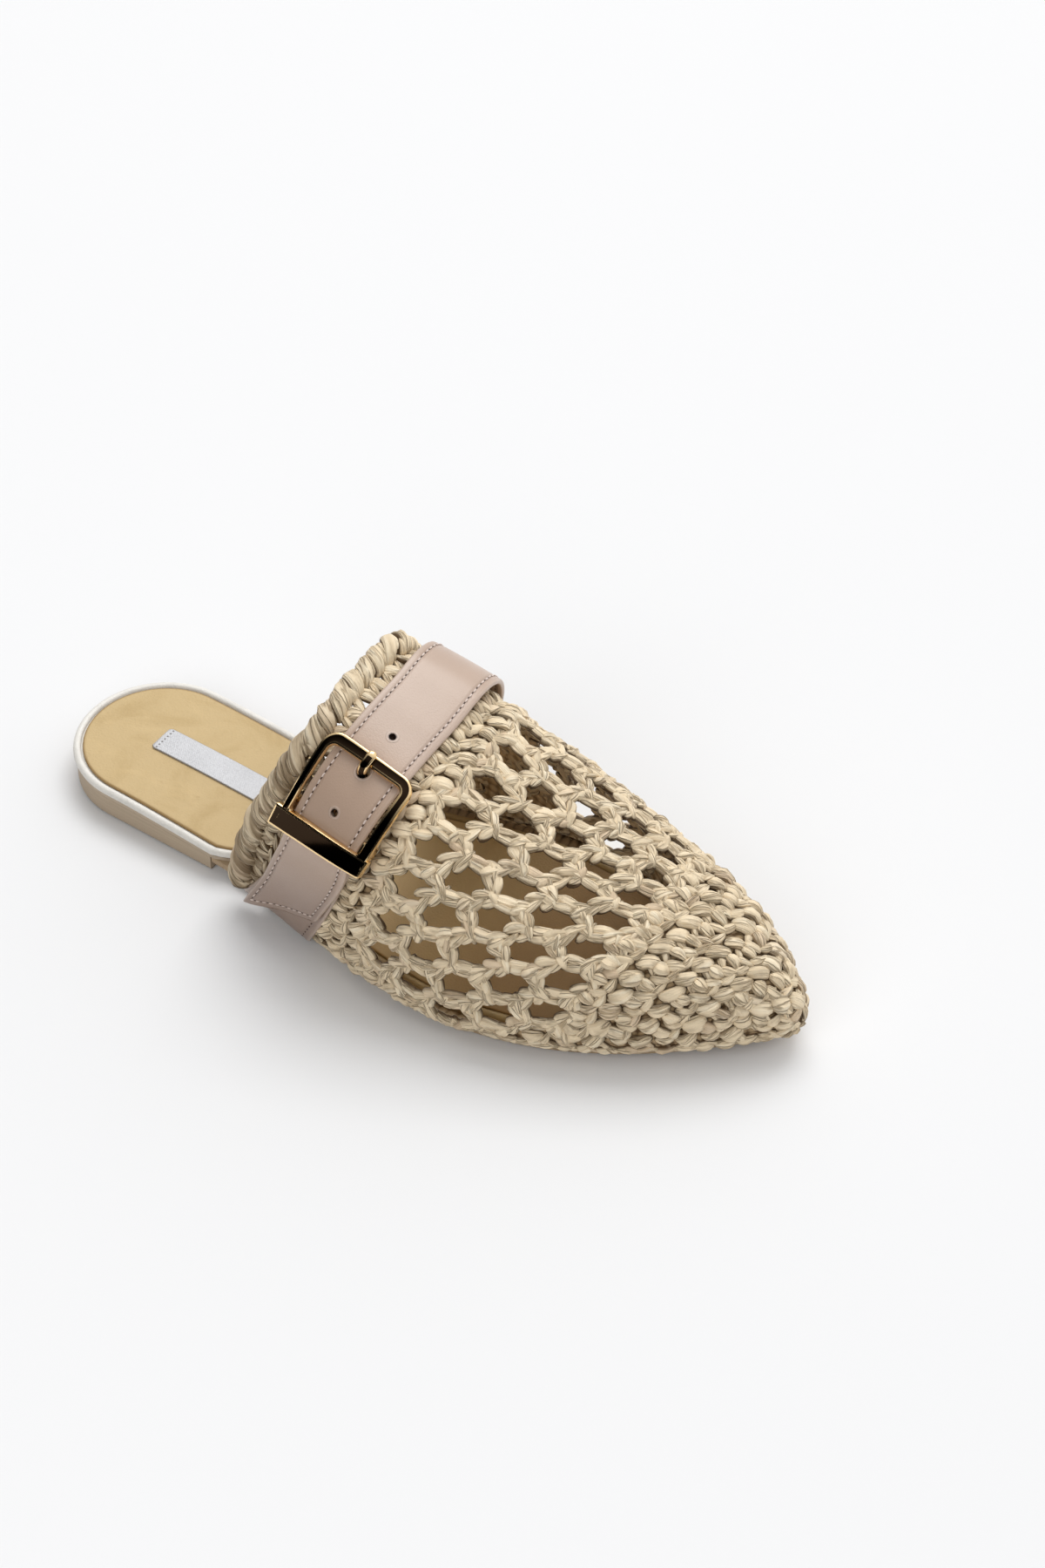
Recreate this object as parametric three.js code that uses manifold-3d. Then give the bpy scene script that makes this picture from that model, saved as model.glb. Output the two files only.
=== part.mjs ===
// Right shoe of a pair of crocheted slippers: an open-heeled slip-on with a pointed toe,
// a raffia upper worked as a net, and a leather instep strap with a buckle on the outer side.
// Millimetres. +X runs to the toe, +Y to the inner side of the foot, +Z up.
// The origin is the middle of the heel's tread.
import * as THREE from 'three';
import { mergeVertices } from 'three/addons/utils/BufferGeometryUtils.js';
import Module from 'manifold-3d';

const wasm = await Module();
wasm.setup();

// Driving dimensions of the shoe
const LENGTH = 265;          // insole's heel end to the toe tip
const BALL_WIDTH = 93;       // upper across its widest section
const SOLE_WIDTH = 86.5;     // lower edge of the upper at the same section
const HEEL_WIDTH = 58;       // welt across the heel
const INSTEP_HEIGHT = 80;    // floor to the top of the upper under the strap
const WELT = 2.3;            // welt standing out behind the insole
const FIT = 0.3;             // clearance between pieces that touch

// Sole parts
const SOLE_THICK = 2.6;
const HEEL_RISE = 5.1;       // the seat under the heel stands this much over the forefoot's
const TOE_SPRING = 3.5;
const HEEL_BLOCK_LENGTH = 71;
const HEEL_BLOCK_INSET = 0.9;
const OUTSOLE_INSET = 1.2;
const BOARD_THICK = 2.6;     // footbed under the insole
const BEAD_HEIGHT = 4.0;     // rounded edge of the footbed, over its underside
const BEAD_WIDTH = 2.6;
const BOARD_TUCK = 4.4;      // the footbed's edge goes this far inside the upper's lower edge
const INSOLE_THICK = 0.8;
const LABEL_LENGTH = 60;
const LABEL_WIDTH = 10.6;
const LABEL_THICK = 0.4;
const LABEL_FROM_HEEL = 25.8;
const LABEL_SIDE = 0.8;      // label's middle, towards the inner side

// Upper and its net
const WALL = 3;
const COLLAR_AT = 103.7;     // rear of the rolled rim at the top of the instep, from the heel end
const COLLAR_DROP = 22.7;    // the rim runs back by this much down to the sole
const ROLL_RADIUS = 3.8;     // rolled rim, outer side and top
const ROLL_RADIUS_INNER = 3.0;
const ROLL_SINK = 1.4;       // the rim's middle lies this far inside the upper's outer face
const MESH_LENGTH = 12.4;    // one net hole, along the foot
const MESH_WIDTH = 7.8;      // one net hole, around the foot
const MESH_SHOULDER = 5.6;   // length of the hole's straight sides
const NET_DROP = 14;         // the rows of holes run back by this much down the sides

// Strap, its base and the buckle
const STRAP_WIDTH = 25;
const STRAP_THICK = 1.8;
const STRAP_AT = 128;        // middle of the strap at the top of the instep, from the heel end
const STRAP_RAKE = 28;       // the strap runs back by this much down to the sole, outer side
const STRAP_RAKE_INNER = 24;
const STRAP_LEAN = 0.5;      // towards its free end the strap's end edges lean to the toe
const STRAP_OFF_UPPER = 0.9;
const STRAP_LIFT = 3.2;      // the strap stands off the upper on the inner side
const STRAP_CORNER_LIFT = 3; // the free end's rear corner stands off its base
const STRAP_CLIMB = 16;      // above the top bar the strap takes this long to rise to it
const STRAP_DESCENT = 12;    // below the lower bar it takes this long to come down to its base
const BASE_THICK = 1.4;
const BASE_WIDTH = 24;
const HOLE_RADIUS = 1.1;
const PRONG_HOLE_RADIUS = 2;
const HOLE_PITCH = 13.4;
const BUCKLE_GAP = 0.6;      // beside the strap
const BUCKLE_SIDE = 3.0;     // width of the side bars
const BUCKLE_FLARE = 1.4;    // each side stands out by this much more at the lower bar
const BUCKLE_HEIGHT = 31;
const BUCKLE_BAR = 3.6;
const BUCKLE_LOWER_BAR = 6.4;
const BUCKLE_TOP_CORNER = 5;
const BUCKLE_LOW_CORNER = 1.2;
const BUCKLE_THICK = 2.2;
const HINGE_RADIUS = 0.8;
const HINGE_LUG = 4.5;
const PRONG_RADIUS = 0.9;

const ORIGIN_AT = 34;        // middle of the heel's tread, from the heel end

// Sections of the last from the collar to the toe. at: share of LENGTH. lateral, medial and
// ridge: shares of BALL_WIDTH. top and waist (height of the widest point): shares of
// INSTEP_HEIGHT. soleLateral and soleMedial: shares of SOLE_WIDTH.
const SECTIONS = [
  { at: 0.28, lateral: 0.328, medial: 0.355, top: 1.060, waist: 0.200, ridge: 0.086, soleLateral: 0.354, soleMedial: 0.325 },
  { at: 0.36, lateral: 0.382, medial: 0.403, top: 1.019, waist: 0.195, ridge: 0.097, soleLateral: 0.379, soleMedial: 0.341 },
  { at: 0.44, lateral: 0.435, medial: 0.446, top: 0.962, waist: 0.188, ridge: 0.108, soleLateral: 0.430, soleMedial: 0.382 },
  { at: 0.52, lateral: 0.484, medial: 0.478, top: 0.881, waist: 0.178, ridge: 0.118, soleLateral: 0.483, soleMedial: 0.445 },
  { at: 0.60, lateral: 0.505, medial: 0.497, top: 0.775, waist: 0.165, ridge: 0.124, soleLateral: 0.509, soleMedial: 0.491 },
  { at: 0.68, lateral: 0.484, medial: 0.489, top: 0.675, waist: 0.155, ridge: 0.124, soleLateral: 0.486, soleMedial: 0.494 },
  { at: 0.76, lateral: 0.414, medial: 0.452, top: 0.594, waist: 0.150, ridge: 0.124, soleLateral: 0.410, soleMedial: 0.451 },
  { at: 0.84, lateral: 0.296, medial: 0.403, top: 0.513, waist: 0.145, ridge: 0.124, soleLateral: 0.283, soleMedial: 0.399 },
  { at: 0.92, lateral: 0.156, medial: 0.339, top: 0.431, waist: 0.140, ridge: 0.118, soleLateral: 0.135, soleMedial: 0.334 },
  { at: 1.00, lateral: 0.000, medial: 0.247, top: 0.350, waist: 0.138, ridge: 0.113, soleLateral: -0.023, soleMedial: 0.243 },
];
// The welt's outline under the heel. at: share of LENGTH. lateral, medial: shares of HEEL_WIDTH.
const HEEL_OUTLINE = [
  { at: 0.00, lateral: 0.500, medial: 0.500 },
  { at: 0.10, lateral: 0.502, medial: 0.500 },
  { at: 0.20, lateral: 0.516, medial: 0.492 },
  { at: 0.28, lateral: 0.528, medial: 0.485 },
];
const SIDE_POWER = 2.7;      // squareness of a section across
const TOP_POWER = 2.3;       // squareness of a section upwards
const CAP_FROM = 0.8;        // the toe rounds off from this share of LENGTH
const CAP_POWER = 3.2;
const TOE_ROUND = 9;         // over this length the tip's underside rounds up
const SOLE_SHORT = 4.2;      // the outsole stops this much short of the tip

// Rows of net holes from the toe back. ridge: the row at the top of the foot, as a share of
// LENGTH. first, step and innerStep: shares of the way around from the outer to the inner lower
// edge. The first NET_OUTER holes after the first one stand a step apart, the others an innerStep.
const NET_OUTER = 5;
const NET_ROWS = [
  { ridge: 0.803, first: 0.130, step: 0.083, innerStep: 0.068, count: 11 },
  { ridge: 0.752, first: 0.090, step: 0.0785, innerStep: 0.072, count: 12 },
  { ridge: 0.701, first: 0.050, step: 0.075, innerStep: 0.075, count: 13 },
  { ridge: 0.649, first: 0.0875, step: 0.075, innerStep: 0.075, count: 12 },
  { ridge: 0.596, first: 0.105, step: 0.075, innerStep: 0.075, count: 11 },
];

const clamp = (x, low, high) => Math.min(high, Math.max(low, x));
const mix = (a, b, t) => a + (b - a) * t;
const smooth = (from, to, x) => {
  const t = clamp((x - from) / (to - from), 0, 1);
  return t * t * (3 - 2 * t);
};

// Value of a table's column at a share of the length, on a smooth curve through its rows
function column(rows, name, at) {
  const x = clamp(at, rows[0].at, rows.at(-1).at);
  let i = 0;
  while (i < rows.length - 2 && rows[i + 1].at <= x) i += 1;
  const slope = (k) => {
    const a = rows[Math.max(0, k - 1)];
    const b = rows[Math.min(rows.length - 1, k + 1)];
    return (b[name] - a[name]) / (b.at - a.at);
  };
  const [a, b] = [rows[i], rows[i + 1]];
  const h = b.at - a.at;
  const t = (x - a.at) / h;
  return (1 + 2 * t) * (1 - t) ** 2 * a[name] + t * (1 - t) ** 2 * h * slope(i)
    + t * t * (3 - 2 * t) * b[name] + t * t * (t - 1) * h * slope(i + 1);
}

// Height of the footbed's underside over the floor: heel seat, arch, flat tread, toe spring
const ARCH_FROM = 0.075;
const ARCH_TO = 0.49;
const SPRING_FROM = 0.72;
function seat(s) {
  const arch = clamp((s / LENGTH - ARCH_FROM) / (ARCH_TO - ARCH_FROM), 0, 1);
  const spring = clamp((s / LENGTH - SPRING_FROM) / (1 - SPRING_FROM), 0, 1);
  return SOLE_THICK + FIT + HEEL_RISE * (1 + Math.cos(Math.PI * arch)) / 2 + TOE_SPRING * spring ** 2;
}

// How much of its width, or of its height, a section keeps at the rounded toe
function toeCap(s, end, power) {
  const x = clamp((s / end - CAP_FROM) / (1 - CAP_FROM), 0, 1);
  return Math.sqrt(1 - x ** power);
}

// Plan outline at a distance s from the heel end: the outer and inner edge, drawn in by inset,
// with the toe's tip shorter by short
function outline(s, inset, short = 0) {
  const at = s / LENGTH;
  const radius = HEEL_WIDTH / 2 - inset;
  const round = clamp((HEEL_WIDTH / 2 - WELT - s) / radius, 0, 1);
  const heel = Math.sqrt(Math.max(0, 1 - round ** 2));
  const isHeel = at < SECTIONS[0].at;
  const width = (name, soleName) => (isHeel
    ? column(HEEL_OUTLINE, name, at) * HEEL_WIDTH
    : column(SECTIONS, soleName, at) * SOLE_WIDTH) - inset;
  const ridge = isHeel ? 0 : column(SECTIONS, 'ridge', at) * BALL_WIDTH;
  const cap = toeCap(s, LENGTH - inset - short, CAP_POWER);
  return {
    lateral: (ridge - (ridge + width('lateral', 'soleLateral')) * cap) * heel,
    medial: (ridge + (width('medial', 'soleMedial') - ridge) * cap) * heel,
  };
}

// One arched section of the last, as points {t, z} from the outer lower edge over the ridge
// to the inner one, with the way around at each. inset draws the whole section in.
const ARCH_STEPS = 64;
const FOOT_STEPS = 8;
const sectionCache = new Map();
function section(s, inset) {
  const key = `${s.toFixed(4)} ${inset}`;
  if (sectionCache.has(key)) return sectionCache.get(key);
  const at = s / LENGTH;
  const plan = toeCap(s, LENGTH - inset, CAP_POWER);
  const rise = toeCap(s, LENGTH - inset, CAP_POWER * 1.3);
  const ridge = column(SECTIONS, 'ridge', at) * BALL_WIDTH;
  const waist = column(SECTIONS, 'waist', at) * INSTEP_HEIGHT;
  const top = column(SECTIONS, 'top', at) * INSTEP_HEIGHT - inset;
  const lateral = (ridge + column(SECTIONS, 'lateral', at) * BALL_WIDTH - inset) * plan;
  const medial = (column(SECTIONS, 'medial', at) * BALL_WIDTH - inset - ridge) * plan;
  const sole = outline(s, inset);
  const lift = clamp(1 - (LENGTH - inset - s) / TOE_ROUND, 0, 1);
  const base = mix(waist, seat(s), Math.sqrt(1 - lift ** 2));
  const points = [];
  for (let i = 0; i < FOOT_STEPS; i += 1) {
    const a = (1 - i / FOOT_STEPS) * Math.PI / 2;
    points.push({
      t: mix(ridge - lateral, sole.lateral, 1 - Math.cos(a)),
      z: mix(waist, base, Math.sin(a)),
    });
  }
  for (let i = 0; i <= ARCH_STEPS; i += 1) {
    const a = Math.PI * i / ARCH_STEPS;
    const across = Math.sign(Math.cos(a)) * Math.abs(Math.cos(a)) ** (2 / SIDE_POWER);
    points.push({
      t: ridge - across * (across > 0 ? lateral : medial),
      z: waist + (top - waist) * rise * Math.abs(Math.sin(a)) ** (2 / TOP_POWER),
    });
  }
  for (let i = FOOT_STEPS - 1; i >= 0; i -= 1) {
    const a = (1 - i / FOOT_STEPS) * Math.PI / 2;
    points.push({
      t: mix(ridge + medial, sole.medial, 1 - Math.cos(a)),
      z: mix(waist, base, Math.sin(a)),
    });
  }
  let way = 0;
  points.forEach((p, i) => {
    if (i > 0) way += Math.hypot(p.t - points[i - 1].t, p.z - points[i - 1].z);
    p.way = way;
  });
  sectionCache.set(key, points);
  return points;
}

// Point of the last's surface: s from the heel end, u from 0 at the outer lower edge to 1
function last(s, u, inset = 0) {
  const points = section(s, inset);
  const way = clamp(u, 0, 1) * points.at(-1).way;
  let i = 1;
  while (i < points.length - 1 && points[i].way < way) i += 1;
  const [a, b] = [points[i - 1], points[i]];
  const k = (way - a.way) / Math.max(b.way - a.way, 1e-9);
  return new THREE.Vector3(s, mix(a.t, b.t, k), mix(a.z, b.z, k));
}

// Directions on the last's surface: out of it, along the foot, and around it
function surfaceFrame(s, u) {
  const along = last(s + 0.5, u).sub(last(s - 0.5, u)).normalize();
  const around = last(s, Math.min(1, u + 0.006)).sub(last(s, Math.max(0, u - 0.006))).normalize();
  const out = along.clone().cross(around).normalize();
  return { out, along, around: out.clone().cross(along).normalize() };
}

// Mesh data of a body lofted through rings of equally many points, both ends closed by fans,
// or joined to each other if it is a loop
function loft(rings, isLoop = false) {
  const size = rings[0].length;
  const vertices = rings.flat();
  const triangles = [];
  const index = (r, i) => (r % rings.length) * size + (i % size);
  for (let r = 0; r < rings.length - (isLoop ? 0 : 1); r += 1) {
    for (let i = 0; i < size; i += 1) {
      const [a, b, c, d] = [index(r, i), index(r, i + 1), index(r + 1, i + 1), index(r + 1, i)];
      triangles.push([a, b, c], [a, c, d]);
    }
  }
  if (!isLoop) {
    [0, rings.length - 1].forEach((r) => {
      const centre = rings[r].reduce((sum, p) => sum.add(p), new THREE.Vector3()).divideScalar(size);
      const middle = vertices.push(centre) - 1;
      for (let i = 0; i < size; i += 1) {
        const face = [middle, index(r, i + 1), index(r, i)];
        triangles.push(r === 0 ? face : face.reverse());
      }
    });
  }
  return { vertices, triangles };
}

// Signed volume of mesh data, positive when its faces point out
function signedVolume({ vertices, triangles }) {
  return triangles.reduce((sum, [a, b, c]) => {
    const cross = vertices[b].clone().cross(vertices[c]);
    return sum + vertices[a].dot(cross) / 6;
  }, 0);
}

function geometryOf(data) {
  const isInsideOut = signedVolume(data) < 0;
  const indices = data.triangles.flatMap(([a, b, c]) => (isInsideOut ? [a, c, b] : [a, b, c]));
  const geometry = new THREE.BufferGeometry();
  const positions = data.vertices.flatMap((p) => [p.x - ORIGIN_AT, p.y, p.z]);
  geometry.setAttribute('position', new THREE.Float32BufferAttribute(positions, 3));
  geometry.setIndex(indices);
  return mergeVertices(geometry, 1e-4);
}

function solidOf(data) {
  const geometry = geometryOf(data);
  return new wasm.Manifold(new wasm.Mesh({
    numProp: 3,
    vertProperties: new Float32Array(geometry.attributes.position.array),
    triVerts: new Uint32Array(geometry.index.array),
  }));
}

function geometryOfSolid(solid) {
  const mesh = solid.getMesh();
  const geometry = new THREE.BufferGeometry();
  geometry.setAttribute('position', new THREE.BufferAttribute(mesh.vertProperties, 3));
  geometry.setIndex(new THREE.BufferAttribute(mesh.triVerts, 1));
  return geometry;
}

// Stations along the foot, crowded towards an end that is round
function stations(from, to, count, roundStart, roundEnd) {
  return Array.from({ length: count + 1 }, (_, i) => {
    let k = i / count;
    if (roundStart && roundEnd) k = (1 - Math.cos(Math.PI * k)) / 2;
    else if (roundStart) k = 1 - Math.cos(Math.PI * k / 2);
    else if (roundEnd) k = Math.sin(Math.PI * k / 2);
    return mix(from, to, k);
  });
}

// Flat piece of the sole between two heights, inside the plan outline drawn in by inset(s)
const END_GAP = 0.05;        // a round end stops this short of its very tip
function slab(places, inset, bottom, top, short = 0) {
  return loft(places.map((s) => {
    const { lateral, medial } = outline(s, inset(s), short);
    return [
      new THREE.Vector3(s, lateral, bottom(s)), new THREE.Vector3(s, lateral, top(s)),
      new THREE.Vector3(s, medial, top(s)), new THREE.Vector3(s, medial, bottom(s)),
    ];
  }));
}

const heelBreast = HEEL_BLOCK_LENGTH - WELT;
function heelBlock() {
  const places = stations(HEEL_BLOCK_INSET - WELT + END_GAP, heelBreast, 22, true, false);
  return slab(places, () => HEEL_BLOCK_INSET, () => 0, (s) => seat(s) - FIT);
}

function outsole() {
  const end = LENGTH - OUTSOLE_INSET - SOLE_SHORT;
  const places = stations(heelBreast + FIT, end - END_GAP, 40, false, true);
  const top = (s) => seat(s) - FIT;
  return slab(places, () => OUTSOLE_INSET, (s) => top(s) - SOLE_THICK, top, SOLE_SHORT);
}

// The footbed's edge is the welt round the heel, then it steps in to leave room for the upper
const boardInset = (s) => BOARD_TUCK * smooth(heelBreast, COLLAR_AT - COLLAR_DROP - 1, s);
function footbed() {
  // Profile of the bead: share of its width inwards, height over the underside
  const profile = [
    { inwards: 0.16, height: 0 }, { inwards: 0, height: 1.3 }, { inwards: 0.06, height: 3.1 },
    { inwards: 0.38, height: BEAD_HEIGHT }, { inwards: 0.76, height: BEAD_HEIGHT - 0.2 },
    { inwards: 1, height: BOARD_THICK },
  ];
  const places = stations(END_GAP - WELT, LENGTH - BOARD_TUCK - END_GAP, 42, true, true);
  return loft(places.map((s) => {
    const { lateral, medial } = outline(s, boardInset(s));
    const bead = Math.min(BEAD_WIDTH, (medial - lateral) * 0.45);
    const outer = profile.map((p) => new THREE.Vector3(s, lateral + p.inwards * bead, seat(s) + p.height));
    const inner = profile.map((p) => new THREE.Vector3(s, medial - p.inwards * bead, seat(s) + p.height));
    return [...outer, ...inner.reverse()];
  }));
}

const insoleInset = (s) => boardInset(s) + BEAD_WIDTH + 2 * FIT;
const insoleBottom = (s) => seat(s) + BOARD_THICK + FIT;
function insole() {
  const start = insoleInset(0) - WELT + END_GAP;
  const end = LENGTH - insoleInset(LENGTH) - END_GAP;
  return slab(stations(start, end, 44, true, true), insoleInset, insoleBottom,
    (s) => insoleBottom(s) + INSOLE_THICK);
}

function label() {
  const places = stations(LABEL_FROM_HEEL, LABEL_FROM_HEEL + LABEL_LENGTH, 10, false, false);
  return loft(places.map((s) => {
    const bottom = insoleBottom(s) + INSOLE_THICK + FIT;
    const corner = (side, z) => new THREE.Vector3(s, LABEL_SIDE + side * LABEL_WIDTH / 2, z);
    const top = bottom + LABEL_THICK;
    return [corner(-1, bottom), corner(-1, top), corner(1, top), corner(1, bottom)];
  }));
}

// The rolled rim: its radius, its rear line, and the edge of the wall that it closes
const sideways = (u) => Math.abs(2 * u - 1);
const rollRadius = (u) => mix(ROLL_RADIUS, ROLL_RADIUS_INNER, smooth(0.62, 0.85, u));
const collarRear = (u) => {
  const w = sideways(u);
  return COLLAR_AT - COLLAR_DROP * (u < 0.5 ? smooth(0.12, 1, w) : w ** 2);
};
const wallEdge = (u) => collarRear(u) + 2 * (rollRadius(u) + FIT);

const AROUND = 24;
const ALONG = 24;
function upperWall() {
  const grid = (inset) => Array.from({ length: ALONG + 1 }, (_, i) => {
    const k = 1 - (1 - i / ALONG) ** 1.6;
    return Array.from({ length: AROUND + 1 }, (__, j) => {
      const u = j / AROUND;
      const tip = LENGTH - inset - END_GAP;
      return last(mix(wallEdge(u), tip, k), u, inset);
    });
  });
  const [outer, inner] = [grid(0), grid(WALL)];
  const vertices = [...outer.flat(), ...inner.flat()];
  const row = AROUND + 1;
  const skin = row * (ALONG + 1);
  const triangles = [];
  const quad = (a, b, c, d) => triangles.push([a, b, c], [a, c, d]);
  for (let i = 0; i < ALONG; i += 1) {
    for (let j = 0; j < AROUND; j += 1) {
      const [a, b, c, d] = [i * row + j, (i + 1) * row + j, (i + 1) * row + j + 1, i * row + j + 1];
      quad(a, b, c, d);
      quad(skin + a, skin + d, skin + c, skin + b);
    }
    // Lower edges, outer and inner side of the foot
    quad(i * row, skin + i * row, skin + (i + 1) * row, (i + 1) * row);
    const [p, q] = [i * row + AROUND, (i + 1) * row + AROUND];
    quad(p, q, skin + q, skin + p);
  }
  for (let j = 0; j < AROUND; j += 1) quad(j, j + 1, skin + j + 1, skin + j);
  // The narrow ends at the toe, each closed from side to side
  const end = ALONG * row;
  for (let j = 0; j < AROUND / 2; j += 1) {
    const [a, b, c, d] = [end + j, end + AROUND - j, end + AROUND - j - 1, end + j + 1];
    quad(a, b, c, d);
    quad(skin + a, skin + d, skin + c, skin + b);
  }
  quad(end, skin + end, skin + end + AROUND, end + AROUND);
  return { vertices, triangles };
}

// A six-sided cutter for one net hole, square to the surface
function meshHole(s, u) {
  const { out, along, around } = surfaceFrame(s, u);
  const centre = last(s, u);
  const corners = [
    [MESH_LENGTH / 2, 0], [MESH_SHOULDER / 2, MESH_WIDTH / 2], [-MESH_SHOULDER / 2, MESH_WIDTH / 2],
    [-MESH_LENGTH / 2, 0], [-MESH_SHOULDER / 2, -MESH_WIDTH / 2], [MESH_SHOULDER / 2, -MESH_WIDTH / 2],
  ];
  const ring = (depth) => corners.map(([x, y]) => centre.clone()
    .addScaledVector(along, x).addScaledVector(around, y).addScaledVector(out, depth));
  return loft([ring(WALL), ring(-2 * WALL)]);
}

function upper() {
  let solid = solidOf(upperWall());
  NET_ROWS.forEach(({ ridge, first, step, innerStep, count }) => {
    for (let k = 0; k < count; k += 1) {
      const u = first + Math.min(k, NET_OUTER) * step + Math.max(k - NET_OUTER, 0) * innerStep;
      solid = solid.subtract(solidOf(meshHole(ridge * LENGTH - NET_DROP * sideways(u) ** 1.3, u)));
    }
  });
  return solid;
}

function collarRoll() {
  const steps = 30;
  const sides = 8;
  const centre = (u) => {
    const s = collarRear(u) + rollRadius(u);
    const sink = ROLL_SINK * smooth(0.94, 0.72, sideways(u)) * (1 - 0.8 * smooth(0.48, 0.58, u));
    return last(s, u).addScaledVector(surfaceFrame(s, u).out, -sink);
  };
  return loft(Array.from({ length: steps + 1 }, (_, i) => {
    const u = mix(0.025, 0.975, i / steps);
    const run = centre(u + 0.004).sub(centre(u - 0.004)).normalize();
    const { out } = surfaceFrame(collarRear(u) + rollRadius(u), u);
    const side = run.clone().cross(out).normalize();
    const up = side.clone().cross(run).normalize();
    return Array.from({ length: sides }, (__, j) => {
      const a = 2 * Math.PI * (j + 0.5) / sides;
      return centre(u).addScaledVector(side, rollRadius(u) * Math.cos(a))
        .addScaledVector(up, rollRadius(u) * Math.sin(a));
    });
  }));
}

// The strap lies on the last along a path. way: distance along it from the outer lower edge,
// across: towards the toe, off: out of the last's surface.
const archWay = section(STRAP_AT, 0).at(-1).way;
const strapMiddle = (u) => {
  const w = sideways(u);
  return STRAP_AT - (u < 0.5 ? STRAP_RAKE * w ** 2.6 : STRAP_RAKE_INNER * w ** 1.6);
};
const strapHalf = (way) => STRAP_WIDTH / 2 * mix(1.1, 0.96, smooth(0.15, 0.26, way / archWay));
function onStrap(way, across, off, lean = STRAP_LEAN) {
  const u = clamp(way / archWay, 0.003, 0.997);
  const slope = (strapMiddle(u + 0.002) - strapMiddle(u - 0.002)) / (0.004 * archWay);
  const norm = Math.hypot(1, slope);
  const isOuter = u < 0.5;
  const s = strapMiddle(u) + across * (isOuter ? norm : 1 / norm);
  const level = isOuter ? lean * smooth(0.45, 0.9, sideways(u)) : -slope / norm;
  const v = clamp(u + across * level / archWay, 0.003, 0.997);
  return last(s, v).addScaledVector(surfaceFrame(s, v).out, off);
}

// Where things are along the strap
const buckleWay = 0.31 * archWay;                           // middle of the buckle
const topBarWay = buckleWay + BUCKLE_HEIGHT / 2 - BUCKLE_BAR / 2;
const lowerBarWay = buckleWay - BUCKLE_HEIGHT / 2 + BUCKLE_LOWER_BAR / 2;
const hingeWay = lowerBarWay + BUCKLE_LOWER_BAR / 2 + 1.6;
const prongHoleWay = topBarWay - BUCKLE_BAR / 2 - 1.7;
const freeEndWay = 12.5;
const innerEndWay = archWay - 1;

// Height of the strap's underside: on the upper, rising over the hinge, then on its base
const baseTop = STRAP_OFF_UPPER + BASE_THICK;
const hingeOff = baseTop + FIT + HINGE_RADIUS;
const overHinge = hingeOff + HINGE_RADIUS + FIT;
function strapUnderside(way, across) {
  const toBuckle = smooth(topBarWay + STRAP_CLIMB, hingeWay + HINGE_LUG, way);
  const pastBuckle = smooth(hingeWay - HINGE_LUG, lowerBarWay - STRAP_DESCENT, way);
  const onUpper = mix(STRAP_OFF_UPPER, overHinge, toBuckle);
  const resting = mix(onUpper, baseTop + FIT, pastBuckle);
  const shoulder = Math.exp(-(((way / archWay - 0.65) / 0.1) ** 2));
  const corner = (1 - smooth(freeEndWay, freeEndWay + 16, way)) * (1 - smooth(-STRAP_WIDTH / 2, 2, across));
  return resting + STRAP_LIFT * shoulder + STRAP_CORNER_LIFT * corner;
}

// Rings of a flat band between two ways along the strap
function band(from, to, steps, half, thick, underside, lean = STRAP_LEAN) {
  const acrosses = [-1, -0.4, 0.4, 1];
  return loft(Array.from({ length: steps + 1 }, (_, i) => {
    const place = (k, off) => {
      const way = mix(from, to, i / steps);
      const across = k * half(way);
      return onStrap(way, across, underside(way, across) + off, lean);
    };
    return [...acrosses.map((k) => place(k, 0)), ...acrosses.slice().reverse().map((k) => place(k, thick))];
  }));
}

// A round or oval cutter through the strap, at a way along it and a place across
function punch(way, across, radius) {
  const sides = 8;
  const ring = (off) => Array.from({ length: sides }, (_, j) => {
    const a = 2 * Math.PI * j / sides;
    return onStrap(way + radius * Math.cos(a), across + radius * Math.sin(a), off);
  });
  const middle = strapUnderside(way, across);
  return loft([ring(middle - STRAP_THICK), ring(middle + 2 * STRAP_THICK)]);
}

function strap() {
  const solid = solidOf(band(freeEndWay, innerEndWay, 38, strapHalf, STRAP_THICK, strapUnderside));
  return solid
    .subtract(solidOf(punch(prongHoleWay, 0, PRONG_HOLE_RADIUS)))
    .subtract(solidOf(punch(prongHoleWay + HOLE_PITCH, 0, HOLE_RADIUS)))
    .subtract(solidOf(punch(prongHoleWay - HOLE_PITCH, 0, HOLE_RADIUS)));
}

// The base comes out of the sole under the free end and is folded round the buckle's hinge
function strapBase() {
  const end = hingeWay - HINGE_RADIUS;
  return band(1, end, 12, () => BASE_WIDTH / 2, BASE_THICK, () => STRAP_OFF_UPPER, 0);
}

// The buckle's frame: a rounded ring that widens to a broad lower bar, and the hinge bar
const frameOff = (way) => {
  const top = strapUnderside(topBarWay, 0) + STRAP_THICK + FIT;
  const low = overHinge + STRAP_THICK + FIT;
  return mix(low, top, clamp((way - lowerBarWay) / (topBarWay - lowerBarWay), 0, 1));
};
const strapEdge = strapHalf(hingeWay);
const buckleHalf = strapEdge + BUCKLE_GAP + BUCKLE_SIDE;

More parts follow.
